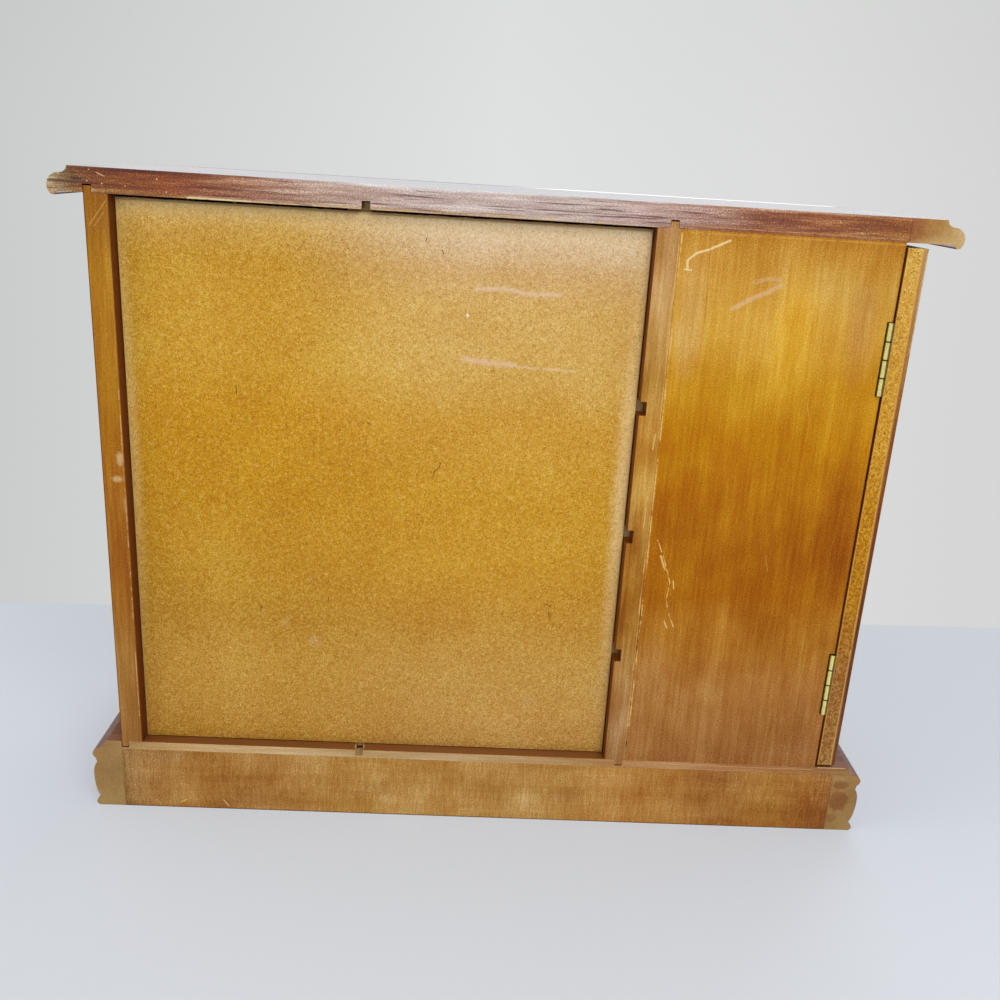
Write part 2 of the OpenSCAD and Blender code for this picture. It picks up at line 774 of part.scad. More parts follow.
module drawer_sides(i) {
    y0 = y_front + drawer_front_t - tail + fit_gap;
    color("#b8864a") difference() {
        for (side = [-1, 1])
            translate([side * (drawer_half - drawer_wall_t / 2) - drawer_wall_t / 2, y0,
                drawer_box_z(i)])
                cube([drawer_wall_t, drawer_end - y0, drawer_box_h(i)]);
        drawer_bottom_slab(i, fit_gap);
    }
}

module drawer_back(i) {
    z0 = drawer_box_z(i) + drawer_bottom_rise + drawer_bottom_t;
    inner = 2 * (drawer_half - drawer_wall_t) - fit_gap;
    color("#b8864a") translate([-inner / 2, drawer_end - drawer_wall_t, z0])
        cube([inner, drawer_wall_t, drawer_box_z(i) + drawer_box_h(i) - z0]);
}

module drawer_bottom(i) {
    color("#c79a5c") drawer_bottom_slab(i, 0);
}

module drawer_knob(i) {
    color("#c9b25e") translate([0, y_front, opening_z(i) + opening_h(i) / 2]) rotate([90, 0, 0]) knob();
}

top_board();
top_moulding_left();
top_moulding_right();
top_moulding_front();
base_board();
plinth_moulding_left();
plinth_moulding_right();
plinth_moulding_front();
plinth_rear_rail();
plinth_corner_blocks();
side_panel();
partition();
divider();
shelf(0);  // shelf_lower
shelf(1);  // shelf_middle
shelf(2);  // shelf_upper
hardboard_back();
side_bay_back();
fixed_front_stiles();
fixed_front_rails();
fixed_front_panel();
ceiling_hooks();
side_door_hinge_fixed_leaves();
front_door_hinge_fixed_leaves();
hinge_pins();
front_door_stop();
door_magnets();
side_door_panel();
side_door_facing();
side_door_hinge_moving_leaves();
side_door_knob();
side_door_strike();
side_door_peg_rail();
side_door_pegs();
front_door_stiles();
front_door_rails();
front_door_panel();
front_door_hinge_moving_leaves();
front_door_knob();
front_door_strike();
for (i = [0 : 3]) {
    name = str("drawer_", i + 1, "_");
    drawer_front(i);
    drawer_sides(i);
    drawer_back(i);
    drawer_bottom(i);
    drawer_knob(i);
}
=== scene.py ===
import json
import math

import bmesh
import bpy
from mathutils import Matrix, Vector, noise


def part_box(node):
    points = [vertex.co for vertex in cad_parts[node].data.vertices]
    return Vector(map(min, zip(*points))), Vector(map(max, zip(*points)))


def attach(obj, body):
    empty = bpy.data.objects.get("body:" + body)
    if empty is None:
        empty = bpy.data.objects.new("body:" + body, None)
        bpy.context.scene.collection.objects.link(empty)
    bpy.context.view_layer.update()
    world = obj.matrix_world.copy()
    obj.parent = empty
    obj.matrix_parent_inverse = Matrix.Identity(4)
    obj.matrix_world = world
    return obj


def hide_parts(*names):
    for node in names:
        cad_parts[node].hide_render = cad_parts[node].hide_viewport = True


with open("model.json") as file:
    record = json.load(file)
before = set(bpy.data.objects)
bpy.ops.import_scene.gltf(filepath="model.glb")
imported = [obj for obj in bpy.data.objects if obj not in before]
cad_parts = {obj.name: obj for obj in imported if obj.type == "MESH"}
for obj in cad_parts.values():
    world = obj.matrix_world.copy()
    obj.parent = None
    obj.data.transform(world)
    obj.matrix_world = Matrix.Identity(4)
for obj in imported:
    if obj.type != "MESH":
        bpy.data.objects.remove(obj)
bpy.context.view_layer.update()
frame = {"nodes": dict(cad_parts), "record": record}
nodes = frame["nodes"]
bodyOf = {name: body for body, names in frame["record"]["behaviour"]["bodies"].items() for name in names}
mm = 0.001


def display(red, green, blue):  # a colour as a screen shows it, 0 to 255
    def linear(value):
        value /= 255
        return value / 12.92 if value <= 0.04045 else ((value + 0.055) / 1.055) ** 2.4
    return (linear(red), linear(green), linear(blue), 1)


# Places that the finishes are measured from, all taken from the frame

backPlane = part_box("partition")[1].y
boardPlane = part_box("hardboard_back")[1].y
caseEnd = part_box("side_panel")[1].x
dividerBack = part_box("divider")[1].y
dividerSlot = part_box("divider")[0].x + 2 * mm  # the middle of its 4 mm tongue
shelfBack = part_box("shelf_lower")[1].y

# Light: an even pale room, a broad soft lamp over the camera and weaker ones. Gain and haze are what
# they make of a colour on the back plane, so that a finish can be given as it is to be seen.

lamps = {
    "gain": 1.08, "haze": 0.012, "aim": (0, 0, 0.17),
    "room": {"colour": (0.96, 0.97, 1.0, 1), "strength": 0.62, "wall": 0.12},
    "over": {"at": (-0.35, 1.35, 1.25), "size": 1.1, "power": 17},
    "side": {"at": (1.5, 0.5, 0.9), "size": 1.0, "power": 7},
    "front": {"at": (-0.6, -1.5, 1.3), "size": 1.2, "power": 12},
}

# Shader writing: a Wire is one output of a node, and sums on it add Math nodes

class Wire:
    def __init__(self, tree, socket=None):
        self.tree = tree
        self.socket = socket

    def node(self, kind, settings=None, sockets=None, output=0):
        made = self.tree.nodes.new(kind)
        for key, value in (settings or {}).items():
            if key == "stops":
                setStops(made.color_ramp, value)
            else:
                setattr(made, key, value)
        for key, value in (sockets or {}).items():
            if isinstance(value, Wire):
                self.tree.links.new(value.socket, made.inputs[key])
            else:
                made.inputs[key].default_value = value
        return Wire(self.tree, made.outputs[output] if made.outputs else None)

    def sum(self, operation, first, second):
        return self.node("ShaderNodeMath", {"operation": operation}, {0: first, 1: second})

    def __add__(self, other):
        return self.sum("ADD", self, other)

    def __sub__(self, other):
        return self.sum("SUBTRACT", self, other)

    def __rsub__(self, other):
        return self.sum("SUBTRACT", other, self)

    def __mul__(self, other):
        return self.sum("MULTIPLY", self, other)

    __radd__ = __add__
    __rmul__ = __mul__


def setStops(ramp, stops):
    while len(ramp.elements) < len(stops):
        ramp.elements.new(0.5)
    for element, (position, colour) in zip(ramp.elements, stops):
        element.position = position
        element.color = colour


def stretched(place, scale, at=(0, 0, 0), turn=(0, 0, 0)):
    return place.node("ShaderNodeMapping", {"vector_type": "POINT"},
                      {"Vector": place, "Location": at, "Rotation": turn, "Scale": scale})


def cloud(place, scale, detail, roughness=0.5, distortion=0):
    return place.node("ShaderNodeTexNoise", {}, {"Vector": place, "Scale": scale, "Detail": detail,
                                                 "Roughness": roughness, "Distortion": distortion})


def cells(place, scale):  # one random colour for each particle
    return place.node("ShaderNodeTexVoronoi", {}, {"Vector": place, "Scale": scale}, 1)


def step(value, low, high):  # 0 below low, 1 above high, smooth between; low may be the larger
    return value.node("ShaderNodeMapRange", {"interpolation_type": "SMOOTHSTEP"},
                      {"Value": value, "From Min": low, "From Max": high})


def apart(value, centre):  # how far a value lies from a centre
    return value.sum("ABSOLUTE", value - centre, 0)


def blendColour(amount, first, second):
    sockets = {0: amount, 6: first, 7: second}
    source = next(v for v in (amount, first, second) if isinstance(v, Wire))
    return source.node("ShaderNodeMix", {"data_type": "RGBA"}, sockets, 2)


def axes(place):
    parts = [place.node("ShaderNodeSeparateXYZ", {}, {"Vector": place}, i) for i in range(3)]
    return dict(zip("xyz", parts))


def newLook(name):
    material = bpy.data.materials.new(name)
    material.use_nodes = True
    material.node_tree.nodes.clear()
    start = Wire(material.node_tree)
    return material, start.node("ShaderNodeTexCoord", output=3)


def surface(place, colour, roughness, height, depth, **fixed):
    bump = place.node("ShaderNodeBump", {}, {"Height": height, "Distance": depth, "Strength": 1.0})
    sockets = {"Base Color": colour, "Roughness": roughness, "Normal": bump}
    for key, value in fixed.items():
        sockets[key.replace("_", " ")] = value
    shader = place.node("ShaderNodeBsdfPrincipled", {}, sockets)
    shader.node("ShaderNodeOutputMaterial", {}, {"Surface": shader})


def distanceTo(flat, start, end):  # from a point in the XZ plane to a straight stroke
    a = Vector((start[0] * mm, 0, start[1] * mm))
    along = Vector((end[0] * mm, 0, end[1] * mm)) - a

    def vector(operation, first, second, output=0):
        return flat.node("ShaderNodeVectorMath", {"operation": operation}, {0: first, 1: second}, output)

    offset = vector("SUBTRACT", flat, a)
    share = vector("DOT_PRODUCT", offset, along / along.length_squared, 1)
    share = share.node("ShaderNodeClamp", {}, {"Value": share})
    nearest = flat.node("ShaderNodeVectorMath", {"operation": "SCALE"}, {0: along, 3: share})
    return vector("DISTANCE", offset, nearest, 1)


def addPatches(place, colour, patches):
    for spot in patches:
        local = place.node("ShaderNodeMapping", {"vector_type": "TEXTURE"},
                           {"Vector": place, "Location": Vector(spot["at"]) * mm,
                            "Scale": Vector(spot["reach"]) * mm})
        far = local.node("ShaderNodeVectorMath", {"operation": "LENGTH"}, {0: local}, 1)
        wobble = cloud(place, spot.get("lumps", 40), 4, 0.6)
        mask = step(far + (wobble - 0.5) * spot.get("ragged", 0.8), 1.0, spot.get("core", 0.1))
        colour = blendColour(mask * spot["strength"], colour, paint(spot["colour"]))
    return colour


def addStrokes(place, colour, strokes):
    flat = place.node("ShaderNodeVectorMath", {"operation": "MULTIPLY"}, {0: place, 1: (1, 0, 1)})
    for mark in strokes:
        points = mark["points"]
        far = distanceTo(flat, points[0], points[1])
        for start, end in zip(points[1:], points[2:]):
            far = far.sum("MINIMUM", far, distanceTo(flat, start, end))
        width = mark["width"] * mm
        wobble = cloud(place, 700, 3, 0.6)
        far = far + (wobble - 0.5) * (width * mark.get("ragged", 1.2))
        mask = step(far, width, width * mark.get("core", 0.4))
        loss = mark.get("loss", 0.2)
        kept = step(cloud(place, mark.get("gaps", 160), 4, 0.7), loss, loss + 0.12)
        colour = blendColour(mask * kept * mark["strength"], colour, paint(mark["colour"]))
    return colour


def addDots(place, colour, dots):  # small pale nicks, each given as x, z and radius
    for x, z, radius in dots:
        off = place.node("ShaderNodeVectorMath", {"operation": "DISTANCE"},
                         {0: stretched(place, (1, 0, 1)), 1: Vector((x, 0, z)) * mm}, 1)
        wobble = (cloud(place, 900, 2) - 0.5) * radius * mm
        colour = blendColour(step(off + wobble, radius * mm, radius * 0.5 * mm) * 0.85, colour,
                             paint((228, 184, 130)))
    return colour


grainSizes = {"fibre": 620, "grit": 1500, "figure": 1100, "streak": 1000}
grainScale = {"x": (0.055, 1, 1), "y": (1, 0.055, 1), "z": (1, 1, 0.055)}  # drawn out along one axis


def paint(shown):  # the paint that shows as this colour under the lamps
    least = 0.0008
    clear = [(value - lamps["haze"]) / lamps["gain"] for value in display(*shown)[:3]]
    return tuple(max(value, least) for value in clear) + (1,)


def broadColour(place, look):
    if "colour" in look:
        return paint(look["colour"])
    stops = sorted(look["field"])
    first, last = stops[0][0], stops[-1][0]
    share = place.node("ShaderNodeMapRange", {}, {"Value": axes(place)[look["along"]],
                                                  "From Min": first * mm, "From Max": last * mm})
    stops = [((at - first) / (last - first), paint(colour)) for at, colour in stops]
    return share.node("ShaderNodeValToRGB", {"stops": stops}, {"Fac": share})


def toned(colour, tone):  # lighter where tone is above 0, darker and richer below
    return tone.node("ShaderNodeGamma", {}, {"Color": colour, "Gamma": 1 - tone})


def grained(place, look):  # wood colour, and the height of its fibres
    lie = stretched(place, grainScale[look["grain"]])
    broad = cloud(place, look.get("broad", 12), 3, 0.5)
    bands = cloud(lie, look.get("bands", 70), 5, 0.62, 0.6)
    fibre = cloud(lie, grainSizes["fibre"], 5, 0.7)
    grit = cloud(place, grainSizes["grit"], 2, 0.6)
    tone = (bands - 0.5) * look.get("contrast", 1) + (broad - 0.5) * look.get("blotch", 0.6)
    tone = tone + (fibre - 0.5) * look.get("fibre", 0.7) + (grit - 0.5) * look.get("grit", 0.5)
    colour = addPatches(place, broadColour(place, look), look.get("patches", []))
    if "rays" in look:  # fine figure across the grain
        figure = cloud(stretched(place, (1, 1, 0.1)), grainSizes["figure"], 3, 0.7)
        tone = tone + (figure - 0.5) * look["rays"]
    colour = toned(colour, tone)
    if "streaks" in look:
        lines = cloud(stretched(place, (0.025, 1, 1)), grainSizes["streak"], 3, 0.6)
        colour = blendColour(step(lines, 0.42, 0.33) * look["streaks"], colour, paint(look["streak"]))
    part = axes(place)
    for band in look.get("rims", []):
        mask = step(part[band["axis"]], band["low"] * mm, band["high"] * mm)
        colour = blendColour(mask * band["strength"], colour, paint(band["colour"]))
    colour = addPatches(place, colour, look.get("ends", []))
    colour = addDots(place, colour, look.get("dots", []))
    colour = addStrokes(place, colour, look.get("strokes", []))
    return colour, fibre


def woodLook(name, look):
    material, place = newLook(name)
    colour, height = grained(place, look)
    roughness = (cloud(place, 55, 4, 0.6) - 0.5) * 0.22 + look.get("roughness", 0.4)
    coat = look.get("coat", 0)
    for cut in look.get("cuts", []):  # faces with another look, known by their plane
        other = grained(place, cut["look"])[0]
        mask = step(axes(place)[cut["axis"]], cut["from"], cut["to"])
        colour = blendColour(mask, colour, other)
        roughness = roughness + mask * 0.25
        if look.get("coat"):  # no lacquer there
            coat = coat * (1 - mask)
    surface(place, colour, roughness, height, 0.00006, Coat_Weight=coat, Coat_Roughness=0.1,
            Specular_IOR_Level=look.get("specular", 0.15))
    return material


print("shader helpers ready")

# Rows of a look, in millimetres. A patch and a stroke lie at x and z on the back plane, or on another.

backY = backPlane / mm
boardY = boardPlane / mm


def patch(at, reach, colour, strength, plane=backY, deep=4, **more):  # a soft-edged spot
    return dict(more, at=(at[0], plane, at[1]), reach=(reach[0], deep, reach[1]), colour=colour,
                strength=strength)


def stroke(points, width, colour, strength, **more):  # a scratch, a chip or a worn edge
    return dict(more, points=points, width=width, colour=colour, strength=strength)


def rim(axis, low, high, colour, strength):  # colour that begins at low and is full from high on
    return {"axis": axis, "low": low, "high": high, "colour": colour, "strength": strength}


# Finishes of the wood, with painted light and shade in some of them. A field gives the colour along one axis
# of a piece, at places in millimetres.

topEdgeLook = {
    "grain": "x", "along": "x", "bands": 190, "contrast": 1.3, "fibre": 1.9, "grit": 2.0, "blotch": 0.5,
    "streaks": 0.75, "streak": (84, 36, 18),
    # the field's pale pinkish middle, from about x -92 to 90, is a painted reflection of the light on the
    # lacquered edge
    "field": [(-198, (136, 74, 30)), (-180, (136, 76, 34)), (-150, (146, 84, 46)), (-120, (142, 86, 58)),
              (-92, (168, 130, 112)), (-60, (190, 160, 148)), (-30, (188, 166, 154)), (10, (192, 170, 160)),
              (50, (186, 162, 152)), (90, (174, 142, 122)), (130, (156, 106, 78)), (165, (142, 76, 36)),
              (190, (132, 70, 30)), (205, (126, 74, 36)), (213, (118, 78, 42)), (217, (132, 96, 60)),
              (221, (176, 148, 110)), (226, (196, 172, 134))],
    "patches": [
        patch((206, 345), (90, 3.4), (160, 112, 56), 0.75, lumps=90),
        patch((40, 345), (130, 3.4), (184, 150, 108), 0.8, lumps=90),
        patch((-140, 345), (90, 4.5), (166, 110, 62), 0.75, lumps=90),
        patch((178, 356.8), (60, 2.6), (92, 44, 20), 0.8, lumps=90),
        # a near-white painted highlight along the board's upper arris
        patch((30, 357), (120, 1.9), (220, 214, 210), 0.85),
        patch((-150, 357), (80, 1.5), (186, 140, 100), 0.6),
        patch((219, 351), (8, 7), (128, 104, 70), 0.6),
        patch((205.5, 346.6), (4.5, 2.2), (176, 136, 92), 0.8),
    ],
    "strokes": [
        stroke([(158, 345.5), (128, 345.3)], 0.7, (226, 202, 150), 0.9, loss=0.3),
        stroke([(128, 345.3), (60, 345.2)], 0.55, (216, 184, 130), 0.8, loss=0.42),
        stroke([(60, 345.3), (-68, 345.3)], 0.5, (206, 170, 120), 0.7, loss=0.45),
        stroke([(-84, 346.8), (-196, 346.2)], 0.35, (206, 150, 84), 0.6, loss=0.42),
        stroke([(212.6, 351.4), (208.4, 351.1)], 0.45, (48, 22, 10), 0.95, loss=0),
        stroke([(201, 354.6), (197.4, 353)], 0.35, (220, 170, 120), 0.8, loss=0.2),
    ],
    "dots": [(198.6, 349.6, 0.5), (172.4, 353, 0.45), (168.2, 347.4, 0.5), (204.4, 355.6, 0.4),
             (205.6, 350.4, 0.4), (187.6, 349, 0.35), (219, 353.2, 0.45), (150, 350, 0.35),
             (64, 349.6, 0.7), (-112, 352, 0.4), (-128, 350.8, 0.35), (-161, 352.6, 0.4)],
}
paleEndLook = {
    "grain": "y", "along": "x", "bands": 130, "contrast": 0.5, "fibre": 0.5, "grit": 0.7, "blotch": 0.4,
    "field": [(-226, (196, 166, 116)), (-220, (184, 148, 92)), (-212, (168, 124, 62)),
              (-205, (158, 108, 50)), (-198, (146, 88, 40)), (-196.5, (134, 72, 32))],
    "patches": [
        patch((-212, 344.6), (18, 6), (190, 156, 102), 0.85, lumps=90),
        patch((-200, 351), (5, 9), (142, 82, 38), 0.7),
    ],
}
oliveEndLook = {
    "grain": "y", "along": "z", "bands": 60, "contrast": 0.5, "fibre": 0.35, "grit": 0.5, "blotch": 0.5,
    "field": [(0, (162, 130, 76)), (12, (158, 122, 70)), (28, (156, 120, 68)), (38, (160, 122, 72))],
    "patches": [
        patch((-213.6, 20.6), (7.4, 8), (176, 134, 74), 0.6, core=0.5, ragged=0.9, lumps=220),
        patch((-213.4, 31.4), (5.4, 3.6), (140, 92, 44), 0.95, core=0.62, ragged=1.0, lumps=240),
        patch((-213.6, 21), (6.6, 8), (142, 94, 46), 0.95, core=0.66, ragged=1.1, lumps=200),
        patch((-211, 8), (4.6, 4), (148, 102, 52), 0.7, core=0.5, ragged=1.2, lumps=240),
        patch((216, 24), (5, 12), (150, 116, 72), 0.5, deep=3, lumps=120),
    ],
}
basePaleLook = {
    "grain": "x", "along": "x", "bands": 110, "contrast": 0.6, "fibre": 0.9, "grit": 0.9, "blotch": 0.3,
    "field": [(-222, (144, 106, 66)), (-196, (154, 106, 58)), (-170, (158, 106, 58)),
              (-140, (164, 112, 66)), (-110, (176, 132, 84)), (-84, (176, 128, 78)), (-50, (172, 134, 84)),
              (-10, (180, 146, 98)), (30, (182, 148, 102)), (70, (174, 140, 90)), (110, (194, 162, 114)),
              (150, (190, 155, 104)), (175, (188, 149, 96)), (196, (168, 131, 78)), (222, (150, 114, 70))],
    "strokes": [
        stroke([(-100, 41.4), (-196, 41.2)], 0.3, (206, 160, 98), 0.6, loss=0.35),
        stroke([(-100, 38.8), (-196, 38.8)], 0.3, (200, 150, 86), 0.5, loss=0.4),
        stroke([(-198, 42.8), (-214, 42.8)], 0.35, (222, 176, 130), 0.7, loss=0.3),
    ],
}
topLook = {
    "grain": "x", "colour": (104, 44, 22), "bands": 90, "contrast": 1.6, "blotch": 0.8, "fibre": 0.8,
    "roughness": 0.16, "coat": 1.0, "specular": 0.5,
}
plinthLook = {
    "grain": "x", "colour": (104, 58, 38), "bands": 80, "contrast": 1.3, "roughness": 0.34, "coat": 0.2,
    "specular": 0.4,
}
railLook = {
    "grain": "x", "along": "x", "bands": 60, "contrast": 0.5, "blotch": 0.9, "broad": 36, "fibre": 0.3,
    "grit": 1.4, "rays": 0.8, "roughness": 0.45,
    "field": [(-208, (146, 92, 46)), (-195, (156, 100, 46)), (-170, (166, 114, 52)),
              (-140, (162, 108, 54)), (-110, (174, 122, 60)), (-80, (182, 130, 66)), (-50, (176, 128, 64)),
              (-10, (178, 132, 70)), (30, (178, 130, 66)), (70, (178, 132, 66)), (110, (174, 126, 66)),
              (140, (166, 116, 58)), (170, (168, 118, 58)), (195, (160, 113, 60)), (208, (150, 112, 64))],
    "patches": [
        patch((140, 6), (30, 9), (146, 96, 50), 0.5, deep=6, lumps=70),
        patch((60, 16), (26, 9), (156, 104, 54), 0.5, deep=6, lumps=70),
        patch((-52, 18), (14, 9), (152, 102, 50), 0.5, deep=6, lumps=70),
        patch((-140, 34), (30, 7), (150, 96, 50), 0.6, deep=6, lumps=70),
        patch((-193, 10), (18, 18), (148, 92, 44), 0.35, deep=6, lumps=60),
        patch((186, 34), (26, 6), (164, 124, 74), 0.6, deep=6, lumps=60),
    ],
    # a dark band along the rail's lowest millimetre is painted shadow where it meets the table
    "rims": [rim("z", 1.0, 0.3, (88, 60, 38), 0.85)],
    "strokes": [
        stroke([(181, 5.6), (172, 6.4), (165, 5.4)], 0.3, (196, 152, 84), 0.7, loss=0.35),
        stroke([(176, 3.6), (172.6, 5.4)], 0.4, (230, 190, 110), 0.9, loss=0.1),
        stroke([(151, 6), (148, 2)], 0.35, (226, 186, 116), 0.9, loss=0),
        stroke([(190, 4.6), (187.4, 1.8)], 0.35, (206, 160, 90), 0.6),
        stroke([(207.2, 36), (207.2, 2)], 0.35, (104, 66, 30), 0.6, loss=0.35, ragged=3),
        stroke([(-207.2, 36), (-207.2, 2)], 0.3, (112, 66, 28), 0.5, loss=0.3),
    ],
}
sideLook = {
    "grain": "z", "along": "z", "bands": 110, "contrast": 0.6, "fibre": 0.8, "grit": 0.9, "blotch": 0.5,
    "roughness": 0.4,
    "field": [(43, (156, 108, 56)), (70, (160, 110, 54)), (100, (168, 118, 56)), (130, (162, 106, 40)),
              (160, (156, 96, 34)), (190, (157, 98, 34)), (220, (158, 99, 29)), (250, (163, 108, 32)),
              (280, (165, 110, 34)), (310, (172, 121, 37)), (335, (158, 108, 38)), (347, (152, 98, 36))],
    "rims": [
        rim("x", 196.7, 196.2, (112, 62, 22), 0.95),
        # the dark line along the outer edge is painted shade on its rounded edge
        rim("x", 207.2, 207.8, (98, 46, 22), 0.85),
    ],
    "patches": [
        patch((198.5, 212), (2.4, 5), (208, 170, 120), 0.7, deep=3, core=0.3, lumps=160),
        patch((200.5, 201), (3.6, 2.4), (204, 164, 110), 0.75, deep=3, core=0.3, lumps=160),
        patch((197, 186), (2, 8), (196, 150, 96), 0.5, deep=3, lumps=120),
    ],
    "strokes": [
        stroke([(197.4, 341.6), (205.9, 330)], 0.26, (206, 160, 84), 0.65, loss=0.2),
        stroke([(198.6, 336.4), (203.6, 329.4)], 0.24, (204, 158, 84), 0.55, loss=0.25),
        stroke([(196.9, 250), (196.9, 60)], 0.4, (214, 166, 110), 0.7, loss=0.46, gaps=120),
        stroke([(206.9, 300), (206.9, 60)], 0.35, (184, 120, 78), 0.4, loss=0.5, gaps=120),
    ],
}
partitionLook = {
    "grain": "z", "along": "z", "bands": 110, "contrast": 0.7, "fibre": 1.0, "grit": 0.9, "blotch": 0.9,
    "broad": 40, "roughness": 0.42,
    "field": [(43, (154, 108, 64)), (60, (163, 118, 73)), (90, (168, 122, 70)), (120, (162, 112, 50)),
              (150, (164, 112, 44)), (180, (164, 112, 50)), (210, (184, 134, 58)), (240, (180, 128, 56)),
              (270, (177, 130, 62)), (300, (192, 148, 86)), (320, (186, 141, 86)), (340, (170, 124, 72))],
    "rims": [
        rim("x", -71.1, -70.6, (96, 48, 24), 0.95),
        rim("x", -81.6, -82.3, (198, 152, 84), 0.5),
    ],
    "patches": [
        patch((-74, 180), (5, 18), (148, 92, 36), 0.7, lumps=90),
        patch((-73, 130), (4, 26), (136, 78, 34), 0.6, lumps=90),
        patch((-76, 344), (7, 3), (172, 120, 84), 0.7),
    ],
    "strokes": [
        stroke([(-82.3, 343), (-82.2, 280), (-82.5, 214), (-81.9, 150), (-82.4, 45)], 0.55,
               (214, 172, 100), 0.8, loss=0.47, gaps=70, ragged=2),
        stroke([(-80.4, 240), (-79.8, 232)], 0.5, (222, 184, 110), 0.8, loss=0.3),
        stroke([(-79.6, 206), (-79.4, 188)], 0.4, (222, 184, 110), 0.7, loss=0.36),
    ],
}
backPanelLook = {
    "grain": "z", "along": "z", "bands": 90, "contrast": 0.5, "fibre": 0.7, "grit": 1.2, "blotch": 0.7,
    "broad": 26, "roughness": 0.38,
    # the field's golden rise towards z 300 is a painted highlight on the panel's middle
    "field": [(43, (157, 104, 58)), (60, (163, 110, 61)), (90, (168, 114, 58)), (120, (168, 110, 42)),
              (150, (166, 101, 27)), (180, (166, 101, 24)), (210, (173, 108, 26)), (240, (183, 121, 30)),
              (270, (192, 136, 38)), (300, (203, 154, 62)), (320, (199, 150, 66)), (336, (188, 134, 54)),
              (347, (172, 114, 42))],
    "rims": [rim("x", -195.2, -195.9, (122, 66, 26), 0.7)],
    "patches": [
        patch((-188, 180), (20, 90), (146, 78, 18), 0.6, deep=6, lumps=30),
        patch((-90, 85), (16, 55), (174, 124, 70), 0.5, deep=6, lumps=30),
        patch((-186, 70), (18, 44), (146, 90, 48), 0.5, deep=6, lumps=30),
        # this patch and the two others near z 300 are a painted highlight on the panel's middle
        patch((-146, 296), (16, 46), (214, 160, 48), 0.6, deep=6, lumps=40),
        patch((-180, 300), (12, 34), (188, 138, 84), 0.45, deep=6, lumps=60),
        patch((-120, 232), (22, 26), (176, 108, 24), 0.5, deep=6, lumps=40),
        patch((-132, 130), (16, 26), (188, 128, 52), 0.45, deep=6, lumps=60),
        patch((-92, 300), (11, 40), (204, 160, 98), 0.5, deep=6, lumps=60),
    ],
    "strokes": [
        stroke([(-82.8, 140), (-82.7, 45)], 0.4, (58, 30, 12), 0.9, loss=0.46, gaps=130),
        stroke([(-83.1, 343), (-83.3, 280), (-83, 214), (-83.4, 150), (-83, 45)], 0.6, (220, 178, 104),
               0.85, loss=0.45, gaps=80, ragged=2),
        stroke([(-84, 343.6), (-196, 343.8)], 0.5, (208, 152, 76), 0.6, loss=0.4),
        stroke([(-87.6, 325.8), (-87.2, 330), (-91, 333.6), (-99, 336.6), (-107.4, 340.8)], 0.8,
               (232, 202, 142), 0.85, loss=0.2, ragged=1.3),
        stroke([(-89, 327), (-90, 331), (-98, 335), (-106, 339.4)], 0.3, (196, 146, 78), 0.7, loss=0.1,
               ragged=0.6),
        stroke([(-89.6, 325.4), (-86.2, 325.6)], 0.5, (236, 208, 150), 0.9, loss=0),
        stroke([(-112.6, 307.6), (-121, 312.6), (-131.5, 317.8), (-135.2, 320.4)], 1.7, (214, 176, 132),
               0.62, loss=0.34, gaps=420),
        stroke([(-135.4, 320.6), (-134.8, 323.6), (-129, 323.4), (-122, 321.2)], 1.5, (208, 168, 122),
               0.5, loss=0.4, gaps=420),
        stroke([(-131, 311), (-130.6, 303)], 0.3, (206, 168, 110), 0.5, loss=0.3),
        stroke([(-88, 181), (-92.6, 170), (-97.2, 156.5), (-96.2, 146), (-99, 136.5), (-102, 130)], 0.42,
               (228, 192, 116), 0.85, loss=0.38, gaps=220),
        stroke([(-90.4, 172), (-93.6, 164)], 0.7, (226, 190, 118), 0.8, loss=0.3),
        stroke([(-99, 157.6), (-99.6, 153)], 0.45, (230, 194, 120), 0.85, loss=0.2),
        stroke([(-96.6, 133), (-98.4, 129)], 0.45, (222, 186, 118), 0.9, loss=0),
        stroke([(-97.6, 345), (-99.4, 300)], 0.22, (132, 78, 34), 0.5, loss=0.3),
        stroke([(-148, 175), (-150.6, 166)], 0.28, (204, 160, 84), 0.5, loss=0.3),
        stroke([(-158, 262), (-160, 254)], 0.28, (214, 168, 88), 0.5, loss=0.3),
    ],
}
frontLook = {
    "grain": "z", "colour": (112, 52, 26), "bands": 60, "contrast": 1.6, "blotch": 0.8, "fibre": 0.8,
    "roughness": 0.24, "coat": 0.5, "specular": 0.5,
}
innerLook = {
    "grain": "z", "colour": (146, 92, 42), "bands": 70, "contrast": 1.1, "roughness": 0.45, "specular": 0.3,
}
# a darker strip of painted shade on the recess walls behind the hardboard's back face
recessLook = dict(innerLook, rims=[rim("y", boardY - 0.8, boardY + 0.1, (106, 54, 22), 0.92)])
rawEndLook = {
    "grain": "z", "colour": (186, 150, 98), "bands": 160, "contrast": 0.8, "grit": 1.0, "roughness": 0.7,
}
